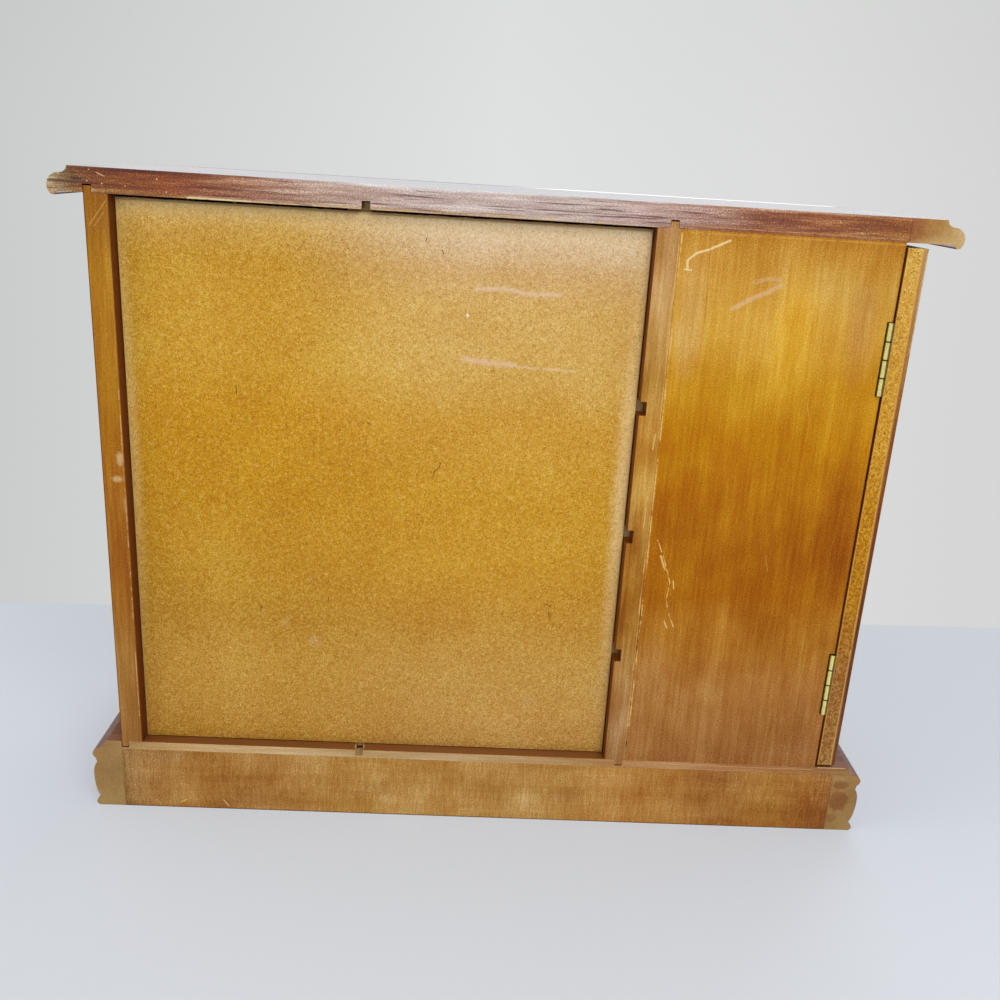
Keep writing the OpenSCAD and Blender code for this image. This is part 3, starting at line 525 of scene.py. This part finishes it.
# the base board's top is darker behind the hardboard too, painted shade in the recess
baseTopLook = dict(
    plinthLook, rims=[rim("y", boardY - 0.8, boardY + 0.1, (126, 80, 46), 0.85)],
    ends=[patch((dividerSlot / mm, 41), (3.4, 5), (190, 160, 110), 0.95, plane=backY - 4.1, deep=6,
                core=0.8, ragged=0.2)])
drawerLook = {
    "grain": "y", "colour": (196, 156, 100), "bands": 70, "contrast": 1.0, "roughness": 0.55,
    "specular": 0.3,
}
softwoodLook = {
    "grain": "z", "colour": (200, 162, 108), "bands": 50, "contrast": 1.3, "roughness": 0.65,
}
facingEdgeLook = {
    "grain": "z", "along": "z", "bands": 120, "contrast": 0.8, "fibre": 1.1, "grit": 0.9, "blotch": 0.5,
    "field": [(43, (116, 72, 42)), (100, (112, 68, 38)), (150, (112, 66, 28)), (200, (136, 76, 32)),
              (250, (148, 92, 40)), (300, (156, 106, 52)), (345, (178, 134, 76))],
    "rims": [
        # the dark line along the outer edge is painted shade on its rounded edge
        rim("x", -207.1, -207.8, (86, 42, 24), 0.8),
        rim("x", -205.8, -205.3, (206, 158, 92), 0.55),
    ],
    "strokes": [
        stroke([(-207.6, 340), (-207.6, 290)], 0.6, (226, 200, 156), 0.85, loss=0.34, gaps=90),
        stroke([(-207.7, 290), (-207.7, 45)], 0.4, (206, 150, 120), 0.6, loss=0.5, gaps=90),
    ],
}


def edgeOf(look, plane=backPlane):  # a look for the faces that lie on the back plane, or on another
    return [{"axis": "y", "from": plane - 0.3 * mm, "to": plane - 0.2 * mm, "look": look}]


def frontOf(node):  # the front's stain on a board's front edge
    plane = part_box(node)[0].y
    return [{"axis": "y", "from": plane + 0.35 * mm, "to": plane + 0.25 * mm, "look": frontLook}]


# the side panel's inner face, with the darker strip of painted shade behind the hardboard
sideInner = [{"axis": "x", "from": caseEnd - 11.6 * mm, "to": caseEnd - 11.8 * mm, "look": recessLook}]
woodLooks = {
    "topWood": dict(topLook, cuts=edgeOf(topEdgeLook)),
    "topEnd": dict(topLook, grain="y", cuts=edgeOf(topEdgeLook)),
    "topPaleEnd": dict(topLook, grain="y", cuts=edgeOf(paleEndLook)),
    "topFront": topLook,
    "plinthWood": plinthLook,
    "plinthEnd": dict(plinthLook, grain="y", cuts=edgeOf(oliveEndLook)),
    "railWood": railLook,
    "baseWood": dict(baseTopLook, cuts=edgeOf(basePaleLook)),
    "sideWood": dict(frontLook, specular=0.15, cuts=sideInner + edgeOf(sideLook)),
    "partitionWood": dict(recessLook, specular=0.1, cuts=edgeOf(partitionLook) + frontOf("partition")),
    "backPanelWood": dict(innerLook, specular=0.1, cuts=edgeOf(backPanelLook)),
    "dividerWood": dict(innerLook, cuts=edgeOf(rawEndLook, dividerBack) + frontOf("divider")),
    "doorFacing": dict(frontLook, specular=0.15, cuts=edgeOf(facingEdgeLook)),
    "frontWood": frontLook,
    "frontRailWood": dict(frontLook, grain="x"),
    "innerWood": innerLook,
    "shelfWood": dict(innerLook, grain="x", cuts=edgeOf(rawEndLook, shelfBack) + frontOf("shelf_lower")),
    "pegRailWood": dict(innerLook, grain="x"),
    "drawerWood": drawerLook,
    "drawerBackWood": dict(drawerLook, grain="x"),
    "softwood": softwoodLook,
}
finishes = {name: woodLook(name, look) for name, look in woodLooks.items()}
print("wood finishes ready")

# Hardboard back: pressed fibre under thin amber lacquer, paler where its edges are eased, partly worn colour
# and partly a painted highlight

hardboardLook = {
    "along": "z",
    # from z 332 up both fields are painted lighter: partly the pale top edge, partly painted light against
    # the shade under the top board
    "field": [(43, (172, 124, 50)), (50, (184, 134, 56)), (65, (189, 141, 62)), (90, (192, 145, 62)),
              (120, (184, 135, 50)), (160, (188, 138, 44)), (200, (190, 138, 38)), (240, (192, 138, 38)),
              (270, (196, 148, 50)), (300, (194, 145, 50)), (318, (188, 139, 48)), (332, (196, 152, 72)),
              (338, (206, 168, 98)), (344, (230, 196, 132))],
    "right": [(43, (176, 130, 64)), (50, (188, 140, 70)), (65, (194, 147, 76)), (90, (194, 149, 74)),
              (120, (189, 139, 56)), (160, (194, 143, 46)), (200, (194, 143, 44)), (240, (199, 150, 58)),
              (270, (204, 162, 84)), (300, (205, 164, 92)), (318, (203, 164, 108)), (332, (212, 182, 142)),
              (338, (222, 194, 150)), (344, (232, 204, 156))],
    "speck": (96, 56, 20), "fleck": (232, 196, 118), "rim": (228, 192, 128), "rimWidth": 1.3,
    "threads": [(0, 0.54, 0.42, "fleck"), (0.3, 0.57, 0.36, "speck")],  # shift, rarity, strength, colour
    "patches": [
        # the two tall pale strips along the side edges are partly worn edge colour, partly a painted
        # highlight on the rounded edges
        patch((-68, 215), (9, 170), (228, 192, 130), 0.8, plane=boardY, deep=5, ragged=0.3),
        patch((194, 225), (6, 170), (218, 180, 108), 0.6, plane=boardY, deep=5, ragged=0.3),
        patch((98.7, 109), (6, 5), (204, 168, 110), 0.4, plane=boardY, deep=5, lumps=160),
        patch((115.4, 119), (4, 5), (204, 168, 110), 0.35, plane=boardY, deep=5, lumps=160),
        patch((-24, 74), (6, 5), (198, 158, 98), 0.3, plane=boardY, deep=5),
    ],
    "strokes": [
        stroke([(16.8, 309.2), (2.7, 310.2), (-10, 308), (-25.3, 308.6)], 1.9, (222, 190, 158), 0.62,
               loss=0.3, gaps=340, ragged=1.5, core=0.1),
        stroke([(21.7, 273.2), (8, 271.8), (-4, 271.6)], 2.6, (220, 186, 152), 0.62, loss=0.26, gaps=340,
               ragged=1.5, core=0.1),
        stroke([(-2, 270.8), (-36.1, 269.9)], 1.1, (220, 186, 146), 0.6, loss=0.36, gaps=340, ragged=1.6,
               core=0.1),
        stroke([(19.6, 305), (20.4, 300), (21, 297)], 0.35, (222, 188, 140), 0.55, loss=0.3),
        stroke([(21.2, 296), (20.6, 295.4)], 0.7, (240, 226, 210), 0.9, loss=0),
        stroke([(31.8, 216.6), (32.4, 214), (34.9, 211.9)], 0.34, (92, 52, 16), 0.9, loss=0, ragged=0.6),
        stroke([(103.5, 327.9), (104.4, 325.6), (107, 323.2)], 0.28, (128, 88, 40), 0.8, loss=0,
               ragged=0.6),
    ] + [
        stroke([(x0, z0), (x1, z1)], 0.36, (96, 54, 20), 0.85, loss=0, ragged=0.7)
        for x0, z0, x1, z1 in (
            (139.1, 253.1, 138.9, 248.3), (159.9, 224.8, 159.2, 224.0), (70.9, 236.8, 70.3, 236.2),
            (34.9, 211.9, 35.6, 208.5), (-12.2, 126.4, -13, 125.8), (-30.3, 137.3, -33.2, 135.6),
            (-32.0, 132.4, -32.9, 128.2), (90.9, 135.7, 91.4, 133.2), (128.0, 129.0, 129.1, 125.9),
            (75.7, 113.9, 75, 113), (42.8, 332.8, 43.3, 331.3), (35.1, 327.4, 34.3, 325.5),
            (-49.3, 249.7, -50.2, 249.2), (189.3, 96.0, 188.6, 95.4))
    ],
}


def hardboardFinish():
    look = hardboardLook
    material, place = newLook("hardboard")
    low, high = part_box("hardboard_back")
    part = axes(place)
    lie = stretched(place, (0.6, 1, 1), turn=(0, 0.3, 0))
    fibres = cloud(lie, 900, 4, 0.8)
    crossed = cloud(stretched(place, (1, 1, 0.5), turn=(0, 0.6, 0)), 1100, 3, 0.8)
    broad = cloud(place, 24, 4, 0.6)
    grit = cloud(place, 1700, 2, 0.7)
    rightwards = step(part["x"] + (broad - 0.5) * 30 * mm, 125 * mm, 15 * mm)  # to the paler half
    colour = blendColour(rightwards, broadColour(place, look),
                         broadColour(place, dict(look, field=look["right"])))
    colour = addPatches(place, colour, look["patches"])
    tone = (fibres - 0.5) * 0.9 + (crossed - 0.5) * 0.7 + (broad - 0.5) * 0.4 + (grit - 0.5) * 1.5
    colour = toned(colour, tone)
    for shift, rarity, strength, kind in look["threads"]:
        # thin curved lines, where a cloud passes its middle value, broken into short lengths
        there = stretched(place, (1, 1, 1), at=(shift, 0, 0))
        line = step(apart(cloud(there, 640, 2, 0.5), 0.5), 0.045, 0.015)
        kept = step(cloud(there, 420, 2, 0.5), rarity, rarity + 0.05)
        colour = blendColour(line * kept * strength, colour, paint(look[kind]))
    spot = step(grit + (crossed - 0.5) * 0.8, 0.36, 0.27)
    colour = blendColour(spot * 0.34, colour, paint(look["speck"]))
    # a pale rim along the sides and top, partly worn edge colour and partly a painted highlight on the
    # rounded edges
    edge = part["x"] - low.x
    for other in (high.x - part["x"], high.z - part["z"]):
        edge = edge.sum("MINIMUM", edge, other)
    eased = step(edge, look["rimWidth"] * mm, 0.3 * mm)
    colour = blendColour(eased * 0.7, colour, paint(look["rim"]))
    colour = addStrokes(place, colour, look["strokes"])
    height = fibres + crossed * 0.8 + grit * 0.3
    surface(place, colour, (broad - 0.5) * 0.2 + 0.55, height, 0.00012, Specular_IOR_Level=0.12)
    return material


# Core of the side door: coarse pressed particles, stained on its inner face

coreLook = {
    "along": "z",
    "field": [(43, (158, 112, 62)), (100, (158, 106, 54)), (150, (176, 118, 36)), (200, (186, 128, 38)),
              (250, (200, 146, 52)), (300, (206, 156, 66)), (345, (208, 166, 82))],
    "particle": 1000, "pit": (96, 52, 16),
    "strokes": [
        stroke([(-197.3, 342), (-197.3, 45)], 0.45, (232, 190, 110), 0.7, loss=0.3, gaps=200),
        stroke([(-204.9, 342), (-204.9, 45)], 0.45, (216, 168, 96), 0.7, loss=0.3, gaps=200),
    ],
}


def coreFinish():
    material, place = newLook("doorCore")
    part = axes(place)
    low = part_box("side_door_panel")[0]
    chips = cells(stretched(place, (1, 1, 0.8)), coreLook["particle"])
    value = chips.node("ShaderNodeSeparateColor", {}, {"Color": chips})
    fine = cloud(place, 1500, 3, 0.75)
    core = toned(broadColour(place, coreLook), (value - 0.5) * 0.45 + (fine - 0.5) * 1.5)
    pits = step(cloud(place, 820, 3, 0.7), 0.42, 0.36)
    core = blendColour(pits * 0.7, core, paint(coreLook["pit"]))
    core = addStrokes(place, core, coreLook["strokes"])
    inner, height = grained(place, innerLook)
    stained = grained(place, frontLook)[0]
    atEdge = step(part["x"], low.x + 7.9 * mm, low.x + 7.7 * mm)
    core = blendColour(step(part["y"], low.y + 1.0 * mm, low.y + 0.6 * mm), core, stained)
    colour = blendColour(atEdge, inner, core)
    surface(place, colour, (fine - 0.5) * 0.2 + 0.5, height + value * atEdge, 0.00012,
            Specular_IOR_Level=0.08)
    return material


# Metal: rolled brass hinges, turned knobs, wire hooks and plain steel catches

def metalFinish(name, bright, dull, roughness, spots):
    material, place = newLook(name)
    tarnish = step(cloud(place, spots, 5, 0.65), 0.46, 0.72)
    scratches = cloud(stretched(place, (1, 1, 0.08)), 2600, 2, 0.6)
    colour = blendColour(tarnish * 0.7, display(*bright), display(*dull))
    surface(place, colour, tarnish * 0.25 + (scratches - 0.5) * 0.15 + roughness, scratches, 0.00001,
            Metallic=1.0)
    return material


hingeLook = {  # widths in millimetres; a pair is where a mask begins and where it is full
    # the side colour is painted shade on the knuckles' sides, the darkest one painted shade in the seams
    # between knuckles
    "bright": (240, 226, 140), "dull": (160, 132, 58), "side": (104, 88, 38), "gap": (52, 40, 18),
    "long": 38, "knuckles": 4, "gapWidth": 0.55,
    "crown": (0.375, 0.927), "crownWidth": (1.65, 1.45), "barrel": (-1.9, -1.2), "near": (20, 10),
}
hinges = []  # where each door's pins stand, towards which end of the case, and whether front or back
for joint in frame["record"]["behaviour"]["joints"]:
    if joint["type"] == "hinge":
        x, y = joint["pos_m"][:2]
        hinges.append({"body": joint["child"], "x": x, "y": y, "end": math.copysign(1, x),
                       "face": math.copysign(1, y)})
leafLow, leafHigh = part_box("side_door_hinge_fixed_leaves")
leafStarts = (leafLow.z, leafHigh.z - hingeLook["long"] * mm)


def hingeFinish(name):  # painted highlight along the knuckles' crowns, painted shade at their sides and in the seams between knuckles
    look = hingeLook
    material, place = newLook(name)
    part = axes(place)
    worn = cloud(place, 500, 4, 0.7)
    colour = blendColour(step(worn, 0.5, 0.7) * 0.4, display(*look["bright"]), display(*look["dull"]))

    def over(value, pair):
        return step(value, pair[0] * mm, pair[1] * mm)

    for hinge in hinges:
        outwards = (part["y"] - hinge["y"]) * hinge["face"]
        across = (part["x"] - hinge["x"]) * hinge["face"]
        # painted shade on each barrel's sides, leaving the bright brass along its crown as a painted
        # highlight
        crown = across * look["crown"][0] + outwards * look["crown"][1]
        side = over(crown + (worn - 0.5) * 0.4 * mm, look["crownWidth"])
        barrel = over(outwards, look["barrel"])
        near = over(apart(part["x"], hinge["x"]), look["near"])
        colour = blendColour(side * barrel * near * 0.92, colour, display(*look["side"]))
    # painted shade in the seams between the knuckles
    for start in leafStarts:
        for knuckle in range(1, look["knuckles"]):
            away = apart(part["z"], start + knuckle * look["long"] / look["knuckles"] * mm)
            colour = blendColour(over(away, (look["gapWidth"], 0.3)) * 0.9, colour, display(*look["gap"]))
    surface(place, colour, (worn - 0.5) * 0.3 + 0.3, worn, 0.00002, Metallic=0.9)
    return material


def flockFinish():
    material, place = newLook("flock")
    nap = cloud(place, 1800, 3, 0.8)
    lay = cloud(place, 30, 3, 0.5)
    colour = toned(display(98, 20, 26), (nap - 0.5) * 0.8 + (lay - 0.5) * 0.6)
    surface(place, colour, 0.95, nap, 0.0003, Sheen_Weight=0.5, Sheen_Roughness=0.4,
            Specular_IOR_Level=0.1)
    return material


metalLooks = {  # bright and dull colours, roughness, scale of the tarnish
    "hookBrass": ((226, 192, 106), (160, 122, 54), 0.2, 90),
    "knobBrass": ((222, 184, 98), (140, 102, 46), 0.2, 120),
    "screwSteel": ((214, 190, 120), (120, 96, 52), 0.25, 300),
    "catchSteel": ((196, 196, 198), (130, 128, 126), 0.3, 120),
}
finishes.update({name: metalFinish(name, *look) for name, look in metalLooks.items()})
finishes["hingeBrass"] = hingeFinish("hingeBrass")
finishes["hardboard"] = hardboardFinish()
finishes["doorCore"] = coreFinish()
finishes["flock"] = flockFinish()
print("all finishes ready")

# Which finish each piece has, and how far a board's edges are eased, in millimetres

dressing = {
    "top_board": ("topWood", 0.25), "top_moulding_left": ("topPaleEnd", 0.2),
    "top_moulding_right": ("topEnd", 0.2), "top_moulding_front": ("topFront", 0.2),
    "base_board": ("baseWood", 0.2), "plinth_moulding_left": ("plinthEnd", 0.2),
    "plinth_moulding_right": ("plinthEnd", 0.2), "plinth_moulding_front": ("plinthWood", 0.2),
    "plinth_rear_rail": ("railWood", 0.3), "plinth_corner_blocks": ("softwood", 0.5),
    "side_panel": ("sideWood", 0.3), "partition": ("partitionWood", 0.25), "divider": ("dividerWood", 0.3),
    "hardboard_back": ("hardboard", 0.05), "side_bay_back": ("backPanelWood", 0.25),
    "side_door_panel": ("doorCore", 0.2), "side_door_facing": ("doorFacing", 0.15),
    "side_door_peg_rail": ("pegRailWood", 0.8), "side_door_pegs": ("hookBrass", 0),
    "front_door_stop": ("innerWood", 0.5), "door_magnets": ("catchSteel", 0),
    "ceiling_hooks": ("hookBrass", 0), "hinge_pins": ("hingeBrass", 0),
}
for level in ("lower", "middle", "upper"):
    dressing["shelf_" + level] = ("shelfWood", 0.3)
for framed in ("fixed_front", "front_door"):
    dressing[framed + "_stiles"] = ("frontWood", 0.4)
    dressing[framed + "_rails"] = ("frontRailWood", 0.2)
    dressing[framed + "_panel"] = ("frontWood", 0.2)
for door in ("side_door", "front_door"):
    dressing[door + "_hinge_fixed_leaves"] = ("hingeBrass", 0.2)
    dressing[door + "_hinge_moving_leaves"] = ("hingeBrass", 0.2)
    dressing[door + "_knob"] = ("knobBrass", 0)
    dressing[door + "_strike"] = ("catchSteel", 0)
for number in range(1, 5):
    dressing[f"drawer_{number}_front"] = ("frontRailWood", 0)
    dressing[f"drawer_{number}_sides"] = ("drawerWood", 0.4)
    dressing[f"drawer_{number}_back"] = ("drawerBackWood", 0.4)
    dressing[f"drawer_{number}_bottom"] = ("flock", 0)
    dressing[f"drawer_{number}_knob"] = ("knobBrass", 0)


def merged(name):  # a copy of a node's mesh with its loose triangles joined
    shape = bmesh.new()
    shape.from_mesh(nodes[name].data)
    bmesh.ops.remove_doubles(shape, verts=shape.verts, dist=0.5e-6)
    bmesh.ops.dissolve_limit(shape, angle_limit=math.radians(0.5), verts=shape.verts, edges=shape.edges)
    return shape


def ease(shape, width):  # rounds every sharp edge a little, as sanding does
    sharp = [edge for edge in shape.edges if edge.is_manifold and edge.calc_face_angle(0) > math.radians(35)]
    bmesh.ops.bevel(shape, geom=sharp, offset=width * mm, segments=2, profile=0.5, affect="EDGES",
                    clamp_overlap=True)


sawnEdge = {"cuts": 180, "higher": 0.6, "rough": 0.25, "waves": (90, 400), "longest": 50}


def fray(shape, top):  # the hardboard's sawn upper edge: up to 0.9 mm higher, and ragged
    near = top - 0.1 * mm
    long = [edge for edge in shape.edges if min(v.co.z for v in edge.verts) > near
            and edge.calc_length() > sawnEdge["longest"] * mm]
    bmesh.ops.subdivide_edges(shape, edges=long, cuts=sawnEdge["cuts"])
    broad, fine = sawnEdge["waves"]
    for vertex in shape.verts:
        if vertex.co.z > near:
            rough = noise.noise(Vector((vertex.co.x * broad, 0, 0)))
            rough += noise.noise(Vector((vertex.co.x * fine, 5, 0)))
            vertex.co.z += (sawnEdge["higher"] + sawnEdge["rough"] * max(-1, min(1, rough))) * mm


def asObject(shape, name, material, sharpAngle=25):
    mesh = bpy.data.meshes.new(name)
    shape.to_mesh(mesh)
    shape.free()
    mesh.materials.clear()
    mesh.materials.append(material)
    mesh.polygons.foreach_set("use_smooth", [True] * len(mesh.polygons))
    mesh.set_sharp_from_angle(angle=math.radians(sharpAngle))
    made = bpy.data.objects.new(name, mesh)
    bpy.context.scene.collection.objects.link(made)
    return made


for name, (finish, width) in dressing.items():
    if width:
        shape = merged(name)
        if name == "hardboard_back":
            fray(shape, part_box(name)[1].z)
        else:
            ease(shape, width)
        piece = asObject(shape, name + "_eased", finishes[finish])
        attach(piece, bodyOf[name])
        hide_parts(name)
    else:
        nodes[name].data.materials.clear()
        nodes[name].data.materials.append(finishes[finish])
missing = set(nodes) - set(dressing)
print("dressed", len(dressing), "nodes; without a finish:", sorted(missing))

# Hinge screws: one turned head put in every hole of the leaves, for each body

screwSet = {  # fromPin and middle lead from a pin's axis to the holes, between the two leaves
    "head": 1.7, "proud": 0.05, "shank": 1.0, "deep": 0.8, "slot": 0.22, "bottom": 0.4,
    "perLeaf": 3, "fromPin": 6.3, "leafGap": 0.1, "middle": 0.85,
}


def slab(shape, outline, low, high):  # an upright prism
    lower = [shape.verts.new((x, y, low)) for x, y in outline]
    upper = [shape.verts.new((x, y, high)) for x, y in outline]
    shape.faces.new(upper)
    shape.faces.new(lower[::-1])
    for i in range(len(outline)):
        j = (i + 1) % len(outline)
        shape.faces.new((lower[i], lower[j], upper[j], upper[i]))


def screwObject(setting):
    shape = bmesh.new()
    ring = [(setting["shank"] * math.cos(math.tau * i / 20), setting["shank"] * math.sin(math.tau * i / 20))
            for i in range(20)]
    slab(shape, ring, -setting["deep"], -setting["bottom"])
    for side in (1, -1):
        for radius, low, high in ((setting["head"], 0, setting["proud"]),
                                  (setting["shank"], -setting["bottom"], 0)):
            first = math.asin(setting["slot"] / radius)
            turns = [first + (math.pi - 2 * first) * i / 14 for i in range(15)]
            slab(shape, [(side * radius * math.cos(t), side * radius * math.sin(t)) for t in turns],
                 low, high)
    bmesh.ops.scale(shape, vec=(mm, mm, mm), verts=shape.verts)
    return asObject(shape, "screw_pattern", finishes["hingeBrass"], 30)


def screwNodes():
    tree = bpy.data.node_groups.new("hingeScrews", "GeometryNodeTree")
    tree.interface.new_socket("Places", in_out="INPUT", socket_type="NodeSocketGeometry")
    for label, kind in (("Screw", "Object"), ("Facing", "Vector"), ("Finish", "Material")):
        tree.interface.new_socket(label, in_out="INPUT", socket_type="NodeSocket" + kind)
    tree.interface.new_socket("Screws", in_out="OUTPUT", socket_type="NodeSocketGeometry")
    start = Wire(tree).node("NodeGroupInput")
    given = {socket.name: Wire(tree, socket) for socket in start.socket.node.outputs if socket.name}
    screw = start.node("GeometryNodeObjectInfo", {}, {"Object": given["Screw"]}, "Geometry")
    put = start.node("GeometryNodeInstanceOnPoints", {}, {"Points": given["Places"], "Instance": screw,
                                                          "Rotation": given["Facing"]})
    spin = start.node("FunctionNodeRandomValue", {"data_type": "FLOAT_VECTOR"},
                      {0: (0, 0, 0), 1: (0, 0, math.pi), "Seed": 4})
    turned = start.node("GeometryNodeRotateInstances", {}, {"Instances": put, "Rotation": spin})
    real = start.node("GeometryNodeRealizeInstances", {}, {"Geometry": turned})
    done = start.node("GeometryNodeSetMaterial", {}, {"Geometry": real, "Material": given["Finish"]})
    done.node("NodeGroupOutput", {}, {"Screws": done})
    return tree


def addScrews(setting):
    pattern = screwObject(setting)
    tree = screwNodes()
    keys = {item.name: item.identifier for item in tree.interface.items_tree if item.in_out == "INPUT"}
    places = dict({"case": []}, **{hinge["body"]: [] for hinge in hinges})
    pitch = hingeLook["long"] / setting["perLeaf"] * mm
    rises = [start + pitch * (row + 0.5) for start in leafStarts for row in range(setting["perLeaf"])]
    for hinge in hinges:
        middle = hinge["x"] + hinge["end"] * setting["middle"] * mm
        y = hinge["y"] - hinge["face"] * setting["fromPin"] * mm
        for rise in rises:
            places["case"].append((middle + setting["leafGap"] * mm, y, rise))
            places[hinge["body"]].append((middle - setting["leafGap"] * mm, y, rise))
    for body, points in places.items():
        mesh = bpy.data.meshes.new("points")
        mesh.from_pydata(points, [], [])
        holder = bpy.data.objects.new("points", mesh)
        bpy.context.scene.collection.objects.link(holder)
        modifier = holder.modifiers.new("screws", "NODES")
        modifier.node_group = tree
        modifier[keys["Screw"]] = pattern
        modifier[keys["Facing"]] = (0, math.radians(-90 if body == "case" else 90), 0)
        modifier[keys["Finish"]] = finishes["screwSteel"]
        result = holder.evaluated_get(bpy.context.evaluated_depsgraph_get())
        made = bpy.data.objects.new("hinge_screws_" + body, bpy.data.meshes.new_from_object(result))
        bpy.data.objects.remove(holder)
        bpy.context.scene.collection.objects.link(made)
        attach(made, body)
    bpy.data.objects.remove(pattern)


addScrews(screwSet)
print("hinge screws added")

# Stage: a pale table that ends where the wall stands, with the room behind in the wall's colours

stageLook = {
    "near": display(212, 218, 226), "far": display(196, 202, 210), "size": 8,
    "wall": [(0.0, display(202, 205, 203)), (0.16, display(211, 213, 212)), (0.5, display(223, 226, 225)),
             (0.8, display(220, 221, 220)), (1.0, display(213, 214, 213))],
    "wallAcross": (0.412, -0.44),  # the direction's x at the picture's left and right sides
    "wallUp": (-0.03, 0.217), "even": display(210, 213, 217),
    "wallLine": ((0.4006, -0.1917), (-0.4670, -0.2282)),
}


def wallColour(ahead):  # by the direction looked in: a little darker towards the sides and upwards
    left, right = stageLook["wallAcross"]
    share = ahead["x"].node("ShaderNodeMapRange", {}, {"Value": ahead["x"], "From Min": left,
                                                       "From Max": right})
    across = share.node("ShaderNodeValToRGB", {"stops": stageLook["wall"]}, {"Fac": share})
    return toned(across, step(ahead["z"], *stageLook["wallUp"]) * -0.15)


def tableFinish():
    material, place = newLook("table")
    path = place.node("ShaderNodeLightPath")
    base = blendColour(step(axes(place)["y"], -0.25, 0.3), stageLook["far"], stageLook["near"])
    base = toned(base, (cloud(place, 5, 4) - 0.5) * 0.12)
    matt = place.node("ShaderNodeBsdfDiffuse", {}, {"Color": base})
    even = place.node("ShaderNodeEmission", {}, {"Color": stageLook["even"], "Strength": 1.0})
    mixed = place.node("ShaderNodeMixShader", {}, {0: path * 0.4, 1: matt, 2: even})
    mixed.node("ShaderNodeOutputMaterial", {}, {"Surface": mixed})
    return material


half = stageLook["size"] / 2
(x0, y0), (x1, y1) = stageLook["wallLine"]
slope = (y1 - y0) / (x1 - x0)
tableMesh = bpy.data.meshes.new("table")
tableMesh.from_pydata([(-half, y0 - slope * (half + x0), 0), (half, y0 + slope * (half - x0), 0),
                       (half, half, 0), (-half, half, 0)], [], [(0, 1, 2, 3)])
tableMesh.materials.append(tableFinish())
table = bpy.data.objects.new("table", tableMesh)
bpy.context.scene.collection.objects.link(table)

# Lamps and room

def addLamp(name, lamp):
    data = bpy.data.lights.new(name, "AREA")
    data.energy = lamp["power"]
    data.size = lamp["size"]
    made = bpy.data.objects.new(name, data)
    place = Vector(lamp["at"])
    turn = (Vector(lamps["aim"]) - place).to_track_quat("-Z", "Y").to_matrix().to_4x4()
    made.matrix_world = Matrix.Translation(place) @ turn
    bpy.context.scene.collection.objects.link(made)


for name in ("over", "side", "front"):
    addLamp(name, lamps[name])


def roomLight():
    world = bpy.data.worlds.new("room")
    world.use_nodes = True
    world.node_tree.nodes.clear()
    start = Wire(world.node_tree)
    path = start.node("ShaderNodeLightPath")
    ahead = axes(start.node("ShaderNodeTexCoord", output=0))
    seen = start.node("ShaderNodeBackground", {}, {"Color": wallColour(ahead), "Strength": 1.0})
    wallSide = step(ahead["y"], -0.1, -0.6) * step(ahead["z"], 0.7, 0.2)  # brighter towards the wall
    strength = wallSide * lamps["room"]["wall"] + lamps["room"]["strength"]
    lit = start.node("ShaderNodeBackground", {}, {"Color": lamps["room"]["colour"],
                                                  "Strength": strength})
    mixed = start.node("ShaderNodeMixShader", {}, {0: path, 1: lit, 2: seen})
    mixed.node("ShaderNodeOutputWorld", {}, {"Surface": mixed})
    bpy.context.scene.world = world


roomLight()
bpy.context.scene.view_settings.view_transform = "Standard"

# Camera: behind the cabinet, a little above its top, turned as the picture was taken

cameraSet = {"at": (0.01456, 0.59609, 0.37079), "down": 18.40, "yaw": 2.70, "roll": 3.64,
             "focus": 1020, "frame": 1000, "centre": (516.6, 503.1)}


def addCamera(setting):
    down, yaw, roll = (math.radians(setting[key]) for key in ("down", "yaw", "roll"))
    turnYaw = Matrix(((math.cos(yaw), 0, -math.sin(yaw)), (0, 1, 0), (math.sin(yaw), 0, math.cos(yaw))))
    turnDown = Matrix(((1, 0, 0), (0, math.cos(down), -math.sin(down)), (0, math.sin(down), math.cos(down))))
    turnRoll = Matrix(((math.cos(roll), -math.sin(roll), 0), (math.sin(roll), math.cos(roll), 0), (0, 0, 1)))
    turned = turnRoll @ turnDown @ turnYaw
    right, lower, ahead = (Vector((-row[0], -row[2], -row[1])) for row in turned)
    axesOf = Matrix((right, -lower, -ahead)).transposed().to_4x4()
    data = bpy.data.cameras.new("camera")
    data.sensor_fit = "HORIZONTAL"
    data.sensor_width = 36
    data.lens = 36 * setting["focus"] / setting["frame"]
    data.shift_x = (setting["frame"] / 2 - setting["centre"][0]) / setting["frame"]
    data.shift_y = (setting["centre"][1] - setting["frame"] / 2) / setting["frame"]
    data.clip_start = 0.01
    made = bpy.data.objects.new("camera", data)
    made.matrix_world = Matrix.Translation(setting["at"]) @ axesOf
    bpy.context.scene.collection.objects.link(made)
    bpy.context.scene.camera = made


addCamera(cameraSet)
print("stage, lamps and camera ready")
